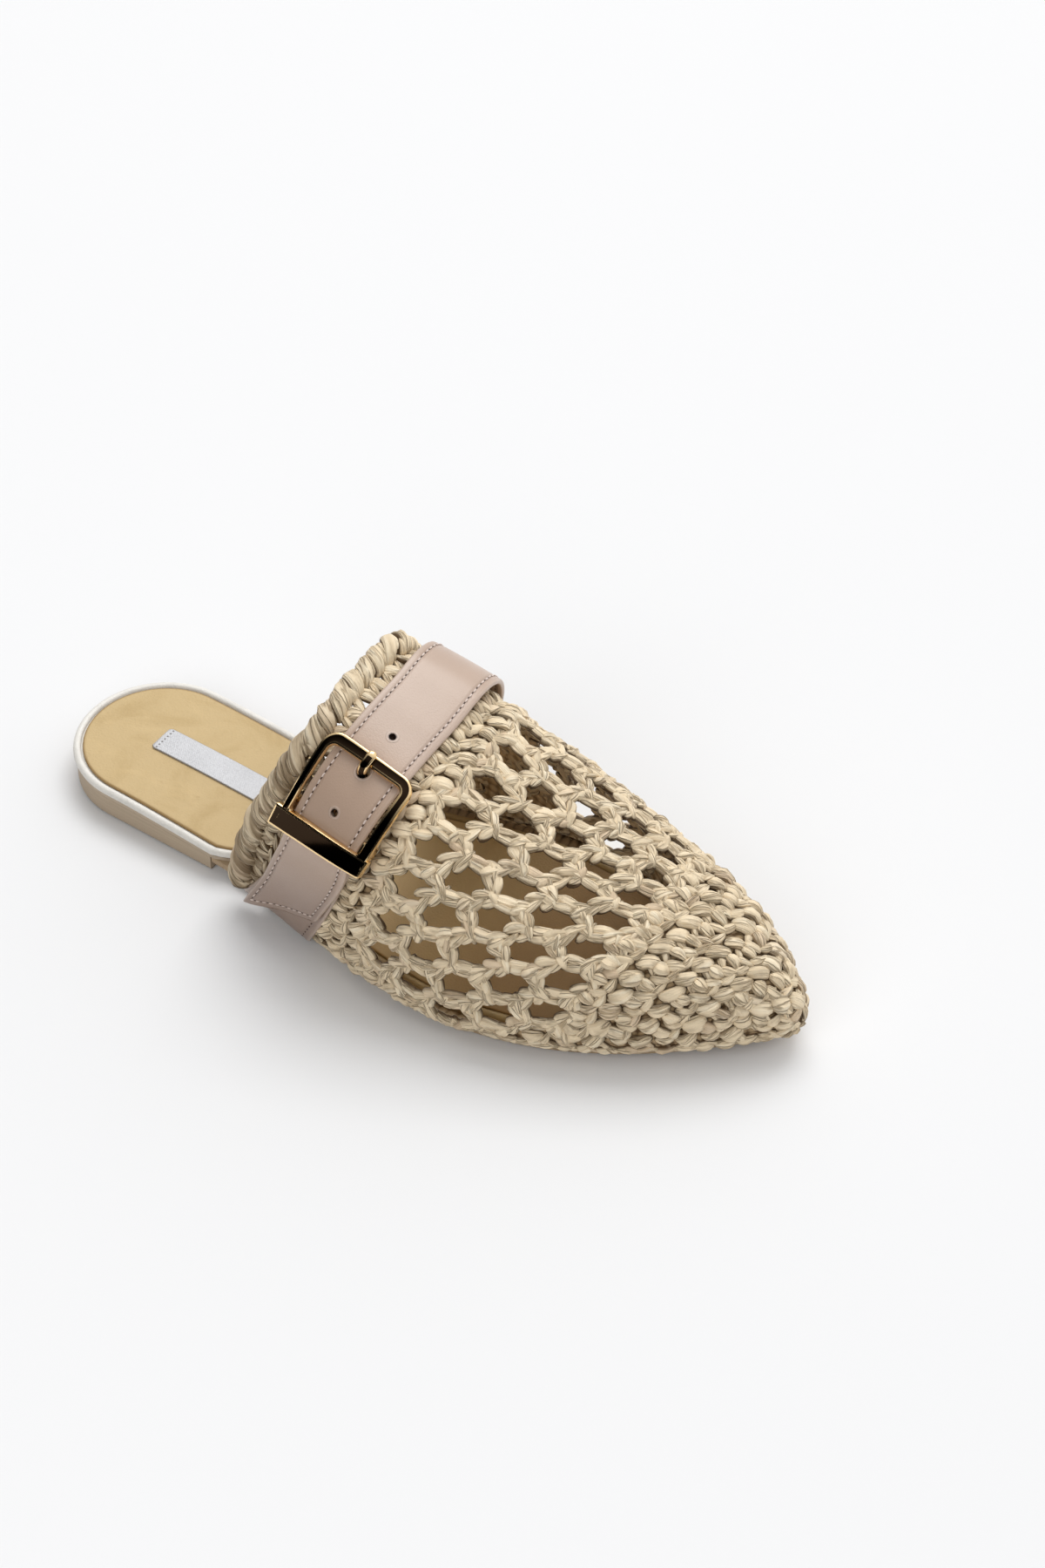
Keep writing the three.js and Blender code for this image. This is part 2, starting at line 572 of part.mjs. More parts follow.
// A four-sided outline, wider below than above, as points [way, across]
function trapezoid(up, down, half, flare, topCorner, lowCorner) {
  const widthAt = (y) => half + flare * clamp((up - y) / (up + down), 0, 1);
  const corners = [
    { y: up - topCorner, side: 1, radius: topCorner, from: 0 },
    { y: up - topCorner, side: -1, radius: topCorner, from: 1 },
    { y: -down + lowCorner, side: -1, radius: lowCorner, from: 2 },
    { y: -down + lowCorner, side: 1, radius: lowCorner, from: 3 },
  ];
  const turns = corners.map(({ y, side, radius, from }) => Array.from({ length: 4 }, (_, i) => {
    const a = (from + i / 3) * Math.PI / 2;
    return [y + radius * Math.sin(a), side * (widthAt(y) - radius) + radius * Math.cos(a)];
  }));
  return turns.flatMap((turn, i) => {
    const [a, b] = [turn.at(-1), turns[(i + 1) % 4][0]];
    const edge = [0.25, 0.5, 0.75].map((k) => [mix(a[0], b[0], k), mix(a[1], b[1], k)]);
    return [...turn, ...edge];
  });
}

function buckleRing() {
  const [up, down] = [BUCKLE_HEIGHT / 2, BUCKLE_HEIGHT / 2];
  const outer = trapezoid(up, down, buckleHalf, BUCKLE_FLARE, BUCKLE_TOP_CORNER, BUCKLE_LOW_CORNER);
  const inner = trapezoid(up - BUCKLE_BAR, down - BUCKLE_LOWER_BAR, buckleHalf - BUCKLE_SIDE,
    BUCKLE_FLARE * 0.7, BUCKLE_TOP_CORNER - BUCKLE_SIDE, BUCKLE_LOW_CORNER);
  return loft(outer.map((point, i) => {
    const place = ([y, across], thick) => {
      const way = buckleWay + y;
      return onStrap(way, across, frameOff(way) + thick);
    };
    return [place(point, 0), place(point, BUCKLE_THICK), place(inner[i], BUCKLE_THICK), place(inner[i], 0)];
  }), true);
}

function rod(points, radius, sides) {
  const curve = new THREE.CatmullRomCurve3(points);
  const steps = points.length * 2;
  const frames = curve.computeFrenetFrames(steps, false);
  return loft(Array.from({ length: steps + 1 }, (_, i) => Array.from({ length: sides }, (__, j) => {
    const a = 2 * Math.PI * j / sides;
    return curve.getPointAt(i / steps)
      .addScaledVector(frames.normals[i], radius * Math.cos(a))
      .addScaledVector(frames.binormals[i], radius * Math.sin(a));
  })));
}

// Each side bar reaches down beside the strap to hold the hinge bar
function hingeLug(side) {
  const ring = (across) => [[-1, -1], [-1, 1], [1, 1], [1, -1]].map(([k, up]) => {
    const way = hingeWay + k * HINGE_LUG / 2;
    return onStrap(way, side * across, up < 0 ? hingeOff - HINGE_RADIUS - 0.2 : frameOff(way) + 0.9);
  });
  return loft([ring(strapEdge + BUCKLE_GAP), ring(buckleHalf + BUCKLE_FLARE / 2)]);
}

function buckleFrame() {
  const reach = buckleHalf + BUCKLE_FLARE + 0.5;
  const ends = [-1, -0.5, 0, 0.5, 1].map((k) => onStrap(hingeWay, k * reach, hingeOff));
  return solidOf(buckleRing())
    .add(solidOf(hingeLug(-1)))
    .add(solidOf(hingeLug(1)))
    .add(solidOf(rod(ends, HINGE_RADIUS, 8)));
}

// The prong leaves the hinge under the strap, comes up through its hole and lies on the top bar
function prong() {
  const overBar = frameOff(topBarWay) + BUCKLE_THICK + FIT + PRONG_RADIUS;
  const under = strapUnderside(hingeWay + 8, 0) - FIT - PRONG_RADIUS;
  const route = [
    [hingeWay + HINGE_RADIUS + FIT + PRONG_RADIUS, hingeOff],
    [hingeWay + 8, under],
    [prongHoleWay - 2.4, strapUnderside(prongHoleWay, 0) - FIT - PRONG_RADIUS],
    [prongHoleWay - 0.7, strapUnderside(prongHoleWay, 0) + 0.2],
    [prongHoleWay - 0.3, overBar - 1.6],
    [prongHoleWay + 1.3, overBar],
    [topBarWay, overBar],
    [topBarWay + BUCKLE_BAR / 2 + 0.4, overBar - 0.2],
  ];
  return rod(route.map(([way, off]) => onStrap(way, 0, off)), PRONG_RADIUS, 6);
}

const shoe = new THREE.Group();
function addPiece(name, geometry, colour, roughness, metalness = 0) {
  const material = new THREE.MeshStandardMaterial({ color: colour, roughness, metalness });
  const mesh = new THREE.Mesh(geometry, material);
  mesh.name = name;
  shoe.add(mesh);
}
const RAFFIA = 0xd8c8aa;
const BLUSH_LEATHER = 0xbfa096;
const GOLD = 0xc9a45c;
addPiece('heel_block', geometryOf(heelBlock()), 0xa9927c, 0.6);
addPiece('outsole', geometryOf(outsole()), 0xb89a78, 0.6);
addPiece('footbed', geometryOf(footbed()), 0xece6da, 0.5);
addPiece('insole', geometryOf(insole()), 0xcfb384, 0.6);
addPiece('insole_label', geometryOf(label()), 0xd9dadd, 0.4);
addPiece('upper', geometryOfSolid(upper()), RAFFIA, 0.8);
addPiece('collar_roll', geometryOf(collarRoll()), RAFFIA, 0.8);
addPiece('strap', geometryOfSolid(strap()), BLUSH_LEATHER, 0.45);
addPiece('strap_base', geometryOf(strapBase()), BLUSH_LEATHER, 0.45);
addPiece('buckle_frame', geometryOfSolid(buckleFrame()), GOLD, 0.15, 1);
addPiece('buckle_prong', geometryOf(prong()), GOLD, 0.15, 1);

export default shoe;
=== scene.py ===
import math

import bpy
import numpy as np
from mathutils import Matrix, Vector


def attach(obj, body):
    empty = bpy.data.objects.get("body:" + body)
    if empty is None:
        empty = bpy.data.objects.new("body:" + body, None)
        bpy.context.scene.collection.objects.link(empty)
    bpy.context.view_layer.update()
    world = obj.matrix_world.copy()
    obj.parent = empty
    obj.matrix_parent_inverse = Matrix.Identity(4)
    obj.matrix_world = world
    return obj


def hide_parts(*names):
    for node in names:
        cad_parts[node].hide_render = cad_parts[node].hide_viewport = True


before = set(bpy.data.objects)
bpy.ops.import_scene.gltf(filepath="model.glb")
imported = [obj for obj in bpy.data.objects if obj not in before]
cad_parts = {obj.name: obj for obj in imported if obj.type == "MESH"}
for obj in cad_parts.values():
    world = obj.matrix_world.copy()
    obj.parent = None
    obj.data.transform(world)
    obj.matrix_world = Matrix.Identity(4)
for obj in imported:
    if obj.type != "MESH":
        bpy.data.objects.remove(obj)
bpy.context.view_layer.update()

bl_info = {
    "name": "Crocheted mule slipper",
    "version": (1, 0, 0),
    "blender": (4, 5, 0),
    "location": "3D View > Sidebar > Slipper",
    "description": "Dresses the slipper's solids with stitched raffia, leather and gilt metal",
    "category": "Object",
}

# Sizes of the shoe, in millimetres, as in the part's source. A place on the last is
# s, the distance from the heel end, and u, from 0 at the outer lower edge to 1 at the inner one.
LENGTH = 265.0
BALL_WIDTH = 93.0
SOLE_WIDTH = 86.5
HEEL_WIDTH = 58.0
INSTEP_HEIGHT = 80.0
WELT = 2.3
FIT = 0.3
ORIGIN_AT = 34.0
SOLE_THICK = 2.6
HEEL_RISE = 5.1
TOE_SPRING = 3.5
HEEL_BREAST = 68.7
HEEL_BLOCK_INSET = 0.9
OUTSOLE_INSET = 1.2
BOARD_THICK = 2.6
BEAD_WIDTH = 2.6
BOARD_TUCK = 4.4
INSOLE_THICK = 0.8
LABEL_FROM_HEEL = 25.8
LABEL_LENGTH = 60.0
LABEL_WIDTH = 10.6
LABEL_SIDE = 0.8
COLLAR_AT = 103.7
COLLAR_DROP = 22.7
ROLL_RADIUS = 3.8
ROLL_RADIUS_INNER = 3.0
ROLL_SINK = 1.4
NET_DROP = 14.0
STRAP_WIDTH = 25.0
STRAP_THICK = 1.8
STRAP_AT = 128.0
STRAP_RAKE = 28.0
STRAP_RAKE_INNER = 24.0
STRAP_LEAN = 0.5
STRAP_OFF_UPPER = 0.9
STRAP_LIFT = 3.2
STRAP_CORNER_LIFT = 3.0
BASE_THICK = 1.4
BASE_WIDTH = 24.0
HOLE_RADIUS = 1.1
PRONG_HOLE_RADIUS = 2.0
HOLE_PITCH = 13.4
BUCKLE_GAP = 0.6
BUCKLE_SIDE = 3.0
BUCKLE_FLARE = 1.4
BUCKLE_FLARE_REAR = -0.8
BUCKLE_HEIGHT = 31.0
BUCKLE_BAR = 3.6
BUCKLE_LOWER_BAR = 6.4
BUCKLE_TOP_CORNER = 5.0
BUCKLE_LOW_CORNER = 1.2
BUCKLE_THICK = 2.2
HINGE_RADIUS = 0.8
HINGE_LUG = 4.5
PRONG_RADIUS = 0.9
SIDE_POWER = 2.7
TOP_POWER = 2.3
CAP_FROM = 0.8
CAP_POWER = 3.2
TOE_ROUND = 9.0
SOLE_SHORT = 4.2

SECTION_AT = np.array([0.28, 0.36, 0.44, 0.52, 0.60, 0.68, 0.76, 0.84, 0.92, 1.00])
SECTIONS = {
    "lateral": np.array([0.328, 0.382, 0.435, 0.484, 0.505, 0.484, 0.414, 0.296, 0.156, 0.0]),
    "medial": np.array([0.355, 0.403, 0.446, 0.478, 0.497, 0.489, 0.452, 0.403, 0.339, 0.243]),
    "top": np.array([1.060, 1.019, 0.962, 0.881, 0.775, 0.675, 0.594, 0.513, 0.431, 0.350]),
    "waist": np.array([0.200, 0.195, 0.188, 0.178, 0.165, 0.155, 0.150, 0.145, 0.140, 0.138]),
    "ridge": np.array([0.086, 0.097, 0.108, 0.118, 0.124, 0.124, 0.124, 0.124, 0.118, 0.113]),
    "sole_lateral": np.array([0.354, 0.379, 0.430, 0.483, 0.509, 0.486, 0.410, 0.283, 0.135, -0.023]),
    "sole_medial": np.array([0.325, 0.341, 0.382, 0.445, 0.491, 0.494, 0.451, 0.399, 0.334, 0.243]),
}
HEEL_AT = np.array([0.0, 0.10, 0.20, 0.28])
HEEL_OUTLINE = {
    "lateral": np.array([0.500, 0.502, 0.516, 0.528]),
    "medial": np.array([0.500, 0.500, 0.492, 0.485]),
}

# Rows of net holes from the toe back: the row at the top of the foot as a share of the length,
# then, as shares of the way around, the first hole, the step to the sixth hole and the step
# after it, and how many holes
NET_ROWS = (
    (0.803, 0.130, 0.083, 0.068, 11),
    (0.752, 0.090, 0.0785, 0.072, 12),
    (0.701, 0.050, 0.075, 0.075, 13),
    (0.649, 0.0875, 0.075, 0.075, 12),
    (0.596, 0.105, 0.075, 0.075, 11),
)
NET_OUTER = 5
# The dense rows' distance from the net's end rows, from the lower edges and from the collar,
# and that of the edge stitches' line from the lower edge
ROW_ROOM = 10.2
EDGE_ROOM = 5.2
RIM_ROOM = 6.2
EDGE_LINE = 2.3
# The closed back of the stitches: off the last's surface, and its thickness. Then the middle of
# the lower edges as a share of the way around, and the rim's core, off the roll's surface
BACK_OFF = -1.55
BACK_THICK = 0.7
LOWER_EDGE = 0.015
CORE_OFF = -1.45
# Colours of the closed back in its low and high places, seen from outside and from inside, given as painted
# shade, darkest low down between the stitches
BACK_SHADE_COLOURS = (0.14, 0.08, 0.033), (0.52, 0.37, 0.21)
INSIDE_SHADE_COLOURS = (0.44, 0.30, 0.15), (0.78, 0.60, 0.37)
# Tints that a user wouldn't change, from the yarn to the label, and the studio's sky. Several are painted
# shade: the yarn's tints for its creases, its outer side, its gaps and the places under the strap's holes,
# the strap's tints for its free end, holes and pricks, and the line under the bead.
YARN_BLUSH = (0.60, 0.43, 0.29)
YARN_CREASE_SHADE = (0.34, 0.235, 0.125)
YARN_SIDE_SHADE = (0.22, 0.15, 0.085)
YARN_GAP_SHADE = (0.12, 0.066, 0.027)
UNDER_HOLE_SHADE = (0.03, 0.016, 0.01)
STRAP_END_SHADE = (0.25, 0.16, 0.115)
STRAP_HOLE_SHADE = (0.03, 0.014, 0.01)
STRAP_PRICK_SHADE = (0.05, 0.026, 0.02)
BEAD_LINE_SHADE = (0.10, 0.075, 0.055)
INSOLE_SPOT = (0.36, 0.23, 0.09)
INSOLE_EDGE = (0.27, 0.16, 0.06)
LABEL_EDGE = (0.30, 0.27, 0.24)
LABEL_PRICK = (0.10, 0.085, 0.075)
SKY_DIM = (0.02, 0.02, 0.021)
SKY_BRIGHT = (1.9, 1.91, 1.93)
SKY_TOWARDS = (0.12, 0.80, 0.59)
# The camera's place in metres, and the way it looks
CAMERA_AT = (0.6165, -0.7109, 0.8857)
CAMERA_TOWARDS = (-0.406, 0.5997, -0.6896)

# Stitches, each of several lobes of yarn: moved along and around the foot, length, width,
# thickness, turn, height, bow, arch, tilt, point and rise, as Lobes.add takes them
FAN = (
    (-0.3, -2.4, 7.2, 3.5, 2.6, 14, -0.95, -0.4, 1.2, 0, 0.35, 0),
    (2.3, 0.8, 7.0, 3.5, 2.5, 68, -0.75, -0.6, 0.8, 0, 0.8, 0.6),
    (-1.1, 0.9, 7.0, 4.2, 2.7, -12, -0.45, 0, 1.4, 0, 0.65, -0.9),
)
BAR = (
    (2.8, -2.3, 5.2, 2.9, 2.3, -42, -1.2, 0, 0.6, 0, 0.5, 0),
    (0, 0, 8.4, 5.1, 2.9, 27, -0.8, 0, 2.1, 0, 0.1, 0),
)
EDGE = (
    (-1.2, 0.4, 7.6, 3.6, 2.5, 16, -0.95, 0, 0.8, 0, 0.3, 0),
    (1.6, 0.2, 6.2, 3.2, 2.4, -32, -1.05, 0, 0.6, 0, 0.3, 0),
)
POST = (
    (0.2, 1.2, 9.6, 3.3, 2.8, 8, -0.7, 0, 0.5, 0, 0.45, 0),
    (-0.6, -1.2, 9.0, 3.3, 2.8, 188, -0.95, 0, 0.5, 0, 0.45, 0),
)
POST_ENDS = (
    (4.0, 0.3, 6.6, 3.6, 2.7, 52, -0.4, 0, 0.9, 0, 0.6, 0),
    (-4.0, -0.3, 6.4, 3.5, 2.7, -48, -0.6, 0, 0.9, 0, 0.6, 0),
)
KNOT = (
    (1.9, -0.6, 7.6, 4.6, 2.7, 20, -0.7, 0, 0.9, 0, 0.3, 0),
    (2.4, 2.2, 6.8, 3.4, 2.4, -30, -1.0, 0, 0.6, 0, 0.6, 0),
    (4.9, 0, 7.6, 3.6, 2.5, 84, -1.0, 0, 0.4, 0, 0.4, 0),
)


# Shapes
def mix(a, b, t):
    return a + (b - a) * t


def smooth(low, high, x):
    t = np.clip((x - low) / (high - low), 0.0, 1.0)
    return t * t * (3 - 2 * t)


def sideways(u):
    return np.abs(2 * u - 1)


def unit(vectors):
    return vectors / np.linalg.norm(vectors, axis=-1, keepdims=True)


def signed_power(x, power):
    return np.sign(x) * np.abs(x) ** power


def full_turn(count, shift=0.0):
    """Evenly spaced angles around a circle."""
    return (np.arange(count) + shift) * 2 * np.pi / count


def ways_along(points):
    """Length of each line from its start to each of its points."""
    step = np.linalg.norm(np.diff(points, axis=0), axis=-1)
    return np.concatenate([np.zeros_like(step[:1]), np.cumsum(step, axis=0)])


def in_metres(points):
    """Points in millimetres on the last, in the shoe's own frame."""
    return (points - (ORIGIN_AT, 0, 0)) * 0.001


def column(at, values, x):
    """Values of a table's column on a smooth curve through its rows."""
    x = np.clip(x, at[0], at[-1])
    i = np.clip(np.searchsorted(at, x, side="right") - 1, 0, len(at) - 2)
    rows = np.arange(len(at))
    low, high = np.maximum(rows - 1, 0), np.minimum(rows + 1, len(at) - 1)
    slope = (values[high] - values[low]) / (at[high] - at[low])
    h = at[i + 1] - at[i]
    t = (x - at[i]) / h
    start = (1 + 2 * t) * (1 - t) ** 2 * values[i] + t * (1 - t) ** 2 * h * slope[i]
    return start + t * t * (3 - 2 * t) * values[i + 1] + t * t * (t - 1) * h * slope[i + 1]


def seat(s):
    """Height of the footbed's underside over the floor."""
    arch = np.clip((s / LENGTH - 0.075) / (0.49 - 0.075), 0, 1)
    spring = np.clip((s / LENGTH - 0.72) / 0.28, 0, 1)
    return SOLE_THICK + FIT + HEEL_RISE * (1 + np.cos(np.pi * arch)) / 2 + TOE_SPRING * spring ** 2


def toe_cap(s, end, power):
    x = np.clip((s / end - CAP_FROM) / (1 - CAP_FROM), 0, 1)
    return np.sqrt(1 - x ** power)


def outline(s, inset, short=0.0):
    """Outer and inner edge of the plan outline at s, drawn in by inset and at the tip by short too."""
    at = s / LENGTH
    is_heel = at < SECTION_AT[0]
    round_off = np.clip((HEEL_WIDTH / 2 - WELT - s) / (HEEL_WIDTH / 2 - inset), 0, 1)
    heel = np.sqrt(np.maximum(0, 1 - round_off ** 2))
    cap = toe_cap(s, LENGTH - inset - short, CAP_POWER)
    ridge = np.where(is_heel, 0, column(SECTION_AT, SECTIONS["ridge"], at) * BALL_WIDTH)
    widths = []
    for name in ("lateral", "medial"):
        heel_width = column(HEEL_AT, HEEL_OUTLINE[name], at) * HEEL_WIDTH
        sole_width = column(SECTION_AT, SECTIONS["sole_" + name], at) * SOLE_WIDTH
        widths.append(np.where(is_heel, heel_width, sole_width) - inset)
    lateral = (ridge - (ridge + widths[0]) * cap) * heel
    medial = (ridge + (widths[1] - ridge) * cap) * heel
    return lateral, medial


def section(s):
    """One arched section of the last as columns t and z, from the outer to the inner edge."""
    at = s / LENGTH
    plan = toe_cap(s, LENGTH, CAP_POWER)
    rise = toe_cap(s, LENGTH, CAP_POWER * 1.3)
    ridge, lateral, medial = (column(SECTION_AT, SECTIONS[name], at) * BALL_WIDTH
                              for name in ("ridge", "lateral", "medial"))
    waist, top = (column(SECTION_AT, SECTIONS[name], at) * INSTEP_HEIGHT for name in ("waist", "top"))
    lateral = (ridge + lateral) * plan
    medial = (medial - ridge) * plan
    sole_lateral, sole_medial = outline(s, 0.0)
    lift = np.clip(1 - (LENGTH - s) / TOE_ROUND, 0, 1)
    base = mix(waist, seat(s), np.sqrt(1 - lift ** 2))
    foot = (1 - np.arange(12) / 12) * np.pi / 2
    a = np.linspace(0, np.pi, 97)
    across = signed_power(np.cos(a), 2 / SIDE_POWER)
    t = np.concatenate([
        mix(ridge - lateral, sole_lateral, 1 - np.cos(foot)),
        ridge - across * np.where(across > 0, lateral, medial),
        mix(ridge + medial, sole_medial, 1 - np.cos(foot[::-1])),
    ])
    z = np.concatenate([
        mix(waist, base, np.sin(foot)),
        waist + (top - waist) * rise * np.abs(np.sin(a)) ** (2 / TOP_POWER),
        mix(waist, base, np.sin(foot[::-1])),
    ])
    return t, z


def between(table, row, u):
    """Values of a table over rows and u, at fractional rows and at u from 0 to 1."""
    row = np.clip(row, 0, table.shape[0] - 1.001)
    col = np.minimum(np.clip(u, 0, 1) * (table.shape[1] - 1), table.shape[1] - 1.001)
    i, j = row.astype(int), col.astype(int)
    p, q = row - i, col - j
    if table.ndim == 3:
        p, q = p[..., None], q[..., None]
    near = table[i, j] * (1 - q) + table[i, j + 1] * q
    far = table[i + 1, j] * (1 - q) + table[i + 1, j + 1] * q
    return near * (1 - p) + far * p


class Last:
    """The last's surface on a fine grid: points, directions out of it, and lengths on it."""

    COLUMNS = 201
    STEP = 0.5
    REAR = 78.0
    TOE_FROM = 250.0
    TOE_WAY = 14.97
    TOE_ROWS = 60

    def __init__(self):
        left = self.TOE_WAY * (1 - np.linspace(0, 1, self.TOE_ROWS)) ** 2
        self.s = np.concatenate([np.arange(self.REAR, self.TOE_FROM, self.STEP), LENGTH - 0.03 - left])
        share = np.linspace(0, 1, self.COLUMNS)
        places, ways = [], []
        for s in self.s:
            t, z = section(s)
            way = np.concatenate([[0], np.cumsum(np.hypot(np.diff(t), np.diff(z)))])
            at = share * way[-1]
            places.append(np.stack([np.full_like(at, s), np.interp(at, way, t), np.interp(at, way, z)], 1))
            ways.append(way[-1])
        self.place = np.array(places)
        self.way = np.array(ways)
        self.out = unit(np.cross(np.gradient(self.place, axis=0), np.gradient(self.place, axis=1)))
        self.arc = ways_along(self.place)
        arcs = np.arange(0, self.arc.max() + 1, self.STEP)
        self.s_of_arc = np.stack([np.interp(arcs, line, self.s) for line in self.arc.T], 1)

    def row(self, s):
        return np.interp(s, self.s, np.arange(len(self.s)))

    def width(self, s):
        """Length of the way around at s."""
        return np.interp(s, self.s, self.way)

    def at(self, s, u, off):
        """Points at a height off the surface."""
        s, u, off = np.broadcast_arrays(s, u, off)
        row = self.row(s)
        return between(self.place, row, u) + unit(between(self.out, row, u)) * off[..., None]

    def arc_at(self, s, u):
        return between(self.arc, self.row(s), u)

    def from_arc(self, arc, u):
        return between(self.s_of_arc, arc / self.STEP, u)

    def near(self, s, u, a, b, h):
        """Points a along the foot and b around it from a place on the surface, h off it."""
        s, u, a, b, h = np.broadcast_arrays(s, u, a, b, h)
        here = self.from_arc(np.maximum(self.arc_at(s, u) + a, 0), u)
        there = u + b / np.maximum(self.width(here), 14)
        return self.at(here, there, h)


LAST = Last()


def roll_radius(u):
    return mix(ROLL_RADIUS, ROLL_RADIUS_INNER, smooth(0.62, 0.85, u))


def collar_rear(u):
    w = sideways(u)
    return COLLAR_AT - COLLAR_DROP * np.where(u < 0.5, smooth(0.12, 1, w), w ** 2)


def wall_edge(u):
    return collar_rear(u) + 2 * (roll_radius(u) + FIT)


class Roll:
    """The rolled rim as a tube: a along it, b around it, h off its surface."""

    def __init__(self):
        u = np.linspace(0.025, 0.975, 500)
        s = collar_rear(u) + roll_radius(u)
        sink = ROLL_SINK * smooth(0.94, 0.72, sideways(u)) * (1 - 0.8 * smooth(0.48, 0.58, u))
        self.centre = LAST.at(s, u, -sink)
        out = LAST.at(s, u, 1.0) - LAST.at(s, u, 0.0)
        run = unit(np.gradient(self.centre, axis=0))
        self.side = unit(np.cross(run, out))
        self.up = np.cross(self.side, run)
        self.radius = roll_radius(u)
        self.way = ways_along(self.centre)

    def at(self, way, turn, off):
        way, turn, off = np.broadcast_arrays(way, turn, off)
        centre, side, up = (np.stack([np.interp(way, self.way, line) for line in table.T], -1)
                            for table in (self.centre, self.side, self.up))
        radius = (np.interp(way, self.way, self.radius) + off)[..., None]
        turn = turn[..., None]
        return centre + radius * (side * np.cos(turn) + up * np.sin(turn))

    def near(self, way, turn, a, b, h):
        radius = np.interp(way, self.way, self.radius)
        return self.at(way + a, turn + b / radius, h)


ROLL = Roll()

# The strap lies on the last: way along it from the outer lower edge, across towards the toe
ARCH_WAY = float(LAST.width(STRAP_AT))
BUCKLE_WAY = 0.31 * ARCH_WAY
TOP_BAR_WAY = BUCKLE_WAY + BUCKLE_HEIGHT / 2 - BUCKLE_BAR / 2
LOWER_BAR_WAY = BUCKLE_WAY - BUCKLE_HEIGHT / 2 + BUCKLE_LOWER_BAR / 2
HINGE_WAY = LOWER_BAR_WAY + BUCKLE_LOWER_BAR / 2 + 1.6
PRONG_HOLE_WAY = TOP_BAR_WAY - BUCKLE_BAR / 2 - 1.7
HOLES = ((PRONG_HOLE_WAY, PRONG_HOLE_RADIUS), (PRONG_HOLE_WAY + HOLE_PITCH, HOLE_RADIUS),
         (PRONG_HOLE_WAY - HOLE_PITCH, HOLE_RADIUS))
FREE_END_WAY = 12.5
INNER_END_WAY = ARCH_WAY - 1
BASE_TOP = STRAP_OFF_UPPER + BASE_THICK
HINGE_OFF = BASE_TOP + FIT + HINGE_RADIUS
OVER_HINGE = HINGE_OFF + HINGE_RADIUS + FIT


def strap_middle(u):
    w = sideways(u)
    return STRAP_AT - np.where(u < 0.5, STRAP_RAKE * w ** 2.6, STRAP_RAKE_INNER * w ** 1.6)


def strap_half(way):
    return STRAP_WIDTH / 2 * mix(1.1, 0.96, smooth(0.15, 0.26, way / ARCH_WAY))


def on_strap(way, across, off, lean=STRAP_LEAN):
    """Points of the strap's path, off the last's surface."""
    way, across, off = np.broadcast_arrays(np.asarray(way, float), across, off)
    u = np.clip(way / ARCH_WAY, 0.003, 0.997)
    slope = (strap_middle(u + 0.002) - strap_middle(u - 0.002)) / (0.004 * ARCH_WAY)
    norm = np.hypot(1, slope)
    is_outer = u < 0.5
    s = strap_middle(u) + across * np.where(is_outer, norm, 1 / norm)
    level = np.where(is_outer, lean * smooth(0.45, 0.9, sideways(u)), -slope / norm)
    v = np.clip(u + across * level / ARCH_WAY, 0.003, 0.997)
    return LAST.at(s, v, off)


def strap_underside(way, across):
    to_buckle = smooth(TOP_BAR_WAY + 16, HINGE_WAY + HINGE_LUG, way)
    past_buckle = smooth(HINGE_WAY - HINGE_LUG, LOWER_BAR_WAY - 12, way)
    resting = mix(mix(STRAP_OFF_UPPER, OVER_HINGE, to_buckle), BASE_TOP + FIT, past_buckle)
    shoulder = np.exp(-(((way / ARCH_WAY - 0.65) / 0.1) ** 2))
    corner = (1 - smooth(FREE_END_WAY, FREE_END_WAY + 16, way)) * (1 - smooth(-STRAP_WIDTH / 2, 2, across))
    return resting + STRAP_LIFT * shoulder + STRAP_CORNER_LIFT * corner


def frame_off(way):
    """Height of the buckle frame's underside."""
    top = strap_underside(TOP_BAR_WAY, 0) + STRAP_THICK + FIT
    low = OVER_HINGE + STRAP_THICK + FIT
    return mix(low, top, np.clip((way - LOWER_BAR_WAY) / (TOP_BAR_WAY - LOWER_BAR_WAY), 0, 1))


STRAP_EDGE = float(strap_half(HINGE_WAY))
BUCKLE_HALF = STRAP_EDGE + BUCKLE_GAP + BUCKLE_SIDE


# Finishes
def node_maths(operation, is_reflected=False):
    """A method that adds a Math node on a value and what it is combined with."""
    def method(self, *others):
        values = (*others, self) if is_reflected else (self, *others)
        return self.finish.node("ShaderNodeMath", {"operation": operation}, dict(enumerate(values)))
    return method


class Value:
    """One output of a node, which can be used in sums like a number."""

    def __init__(self, finish, socket):
        self.finish = finish
        self.socket = socket

    __add__ = node_maths("ADD")
    __radd__ = node_maths("ADD", is_reflected=True)
    __sub__ = node_maths("SUBTRACT")
    __rsub__ = node_maths("SUBTRACT", is_reflected=True)
    __mul__ = node_maths("MULTIPLY")
    __rmul__ = node_maths("MULTIPLY", is_reflected=True)
    __truediv__ = node_maths("DIVIDE")
    __rtruediv__ = node_maths("DIVIDE", is_reflected=True)
    __abs__ = node_maths("ABSOLUTE")
    fraction = node_maths("FRACT")
    sine = node_maths("SINE")
    at_least = node_maths("MAXIMUM")
    at_most = node_maths("MINIMUM")

    def ramp(self, low, high):
        """Runs smoothly from 0 at low to 1 at high."""
        return self.finish.node("ShaderNodeMapRange", {"interpolation_type": "SMOOTHSTEP"},
                                {"Value": self, "From Min": low, "From Max": high})

    def band(self, low, high):
        """1 within low of zero, running to 0 at high and beyond."""
        return 1 - abs(self).ramp(low, high)


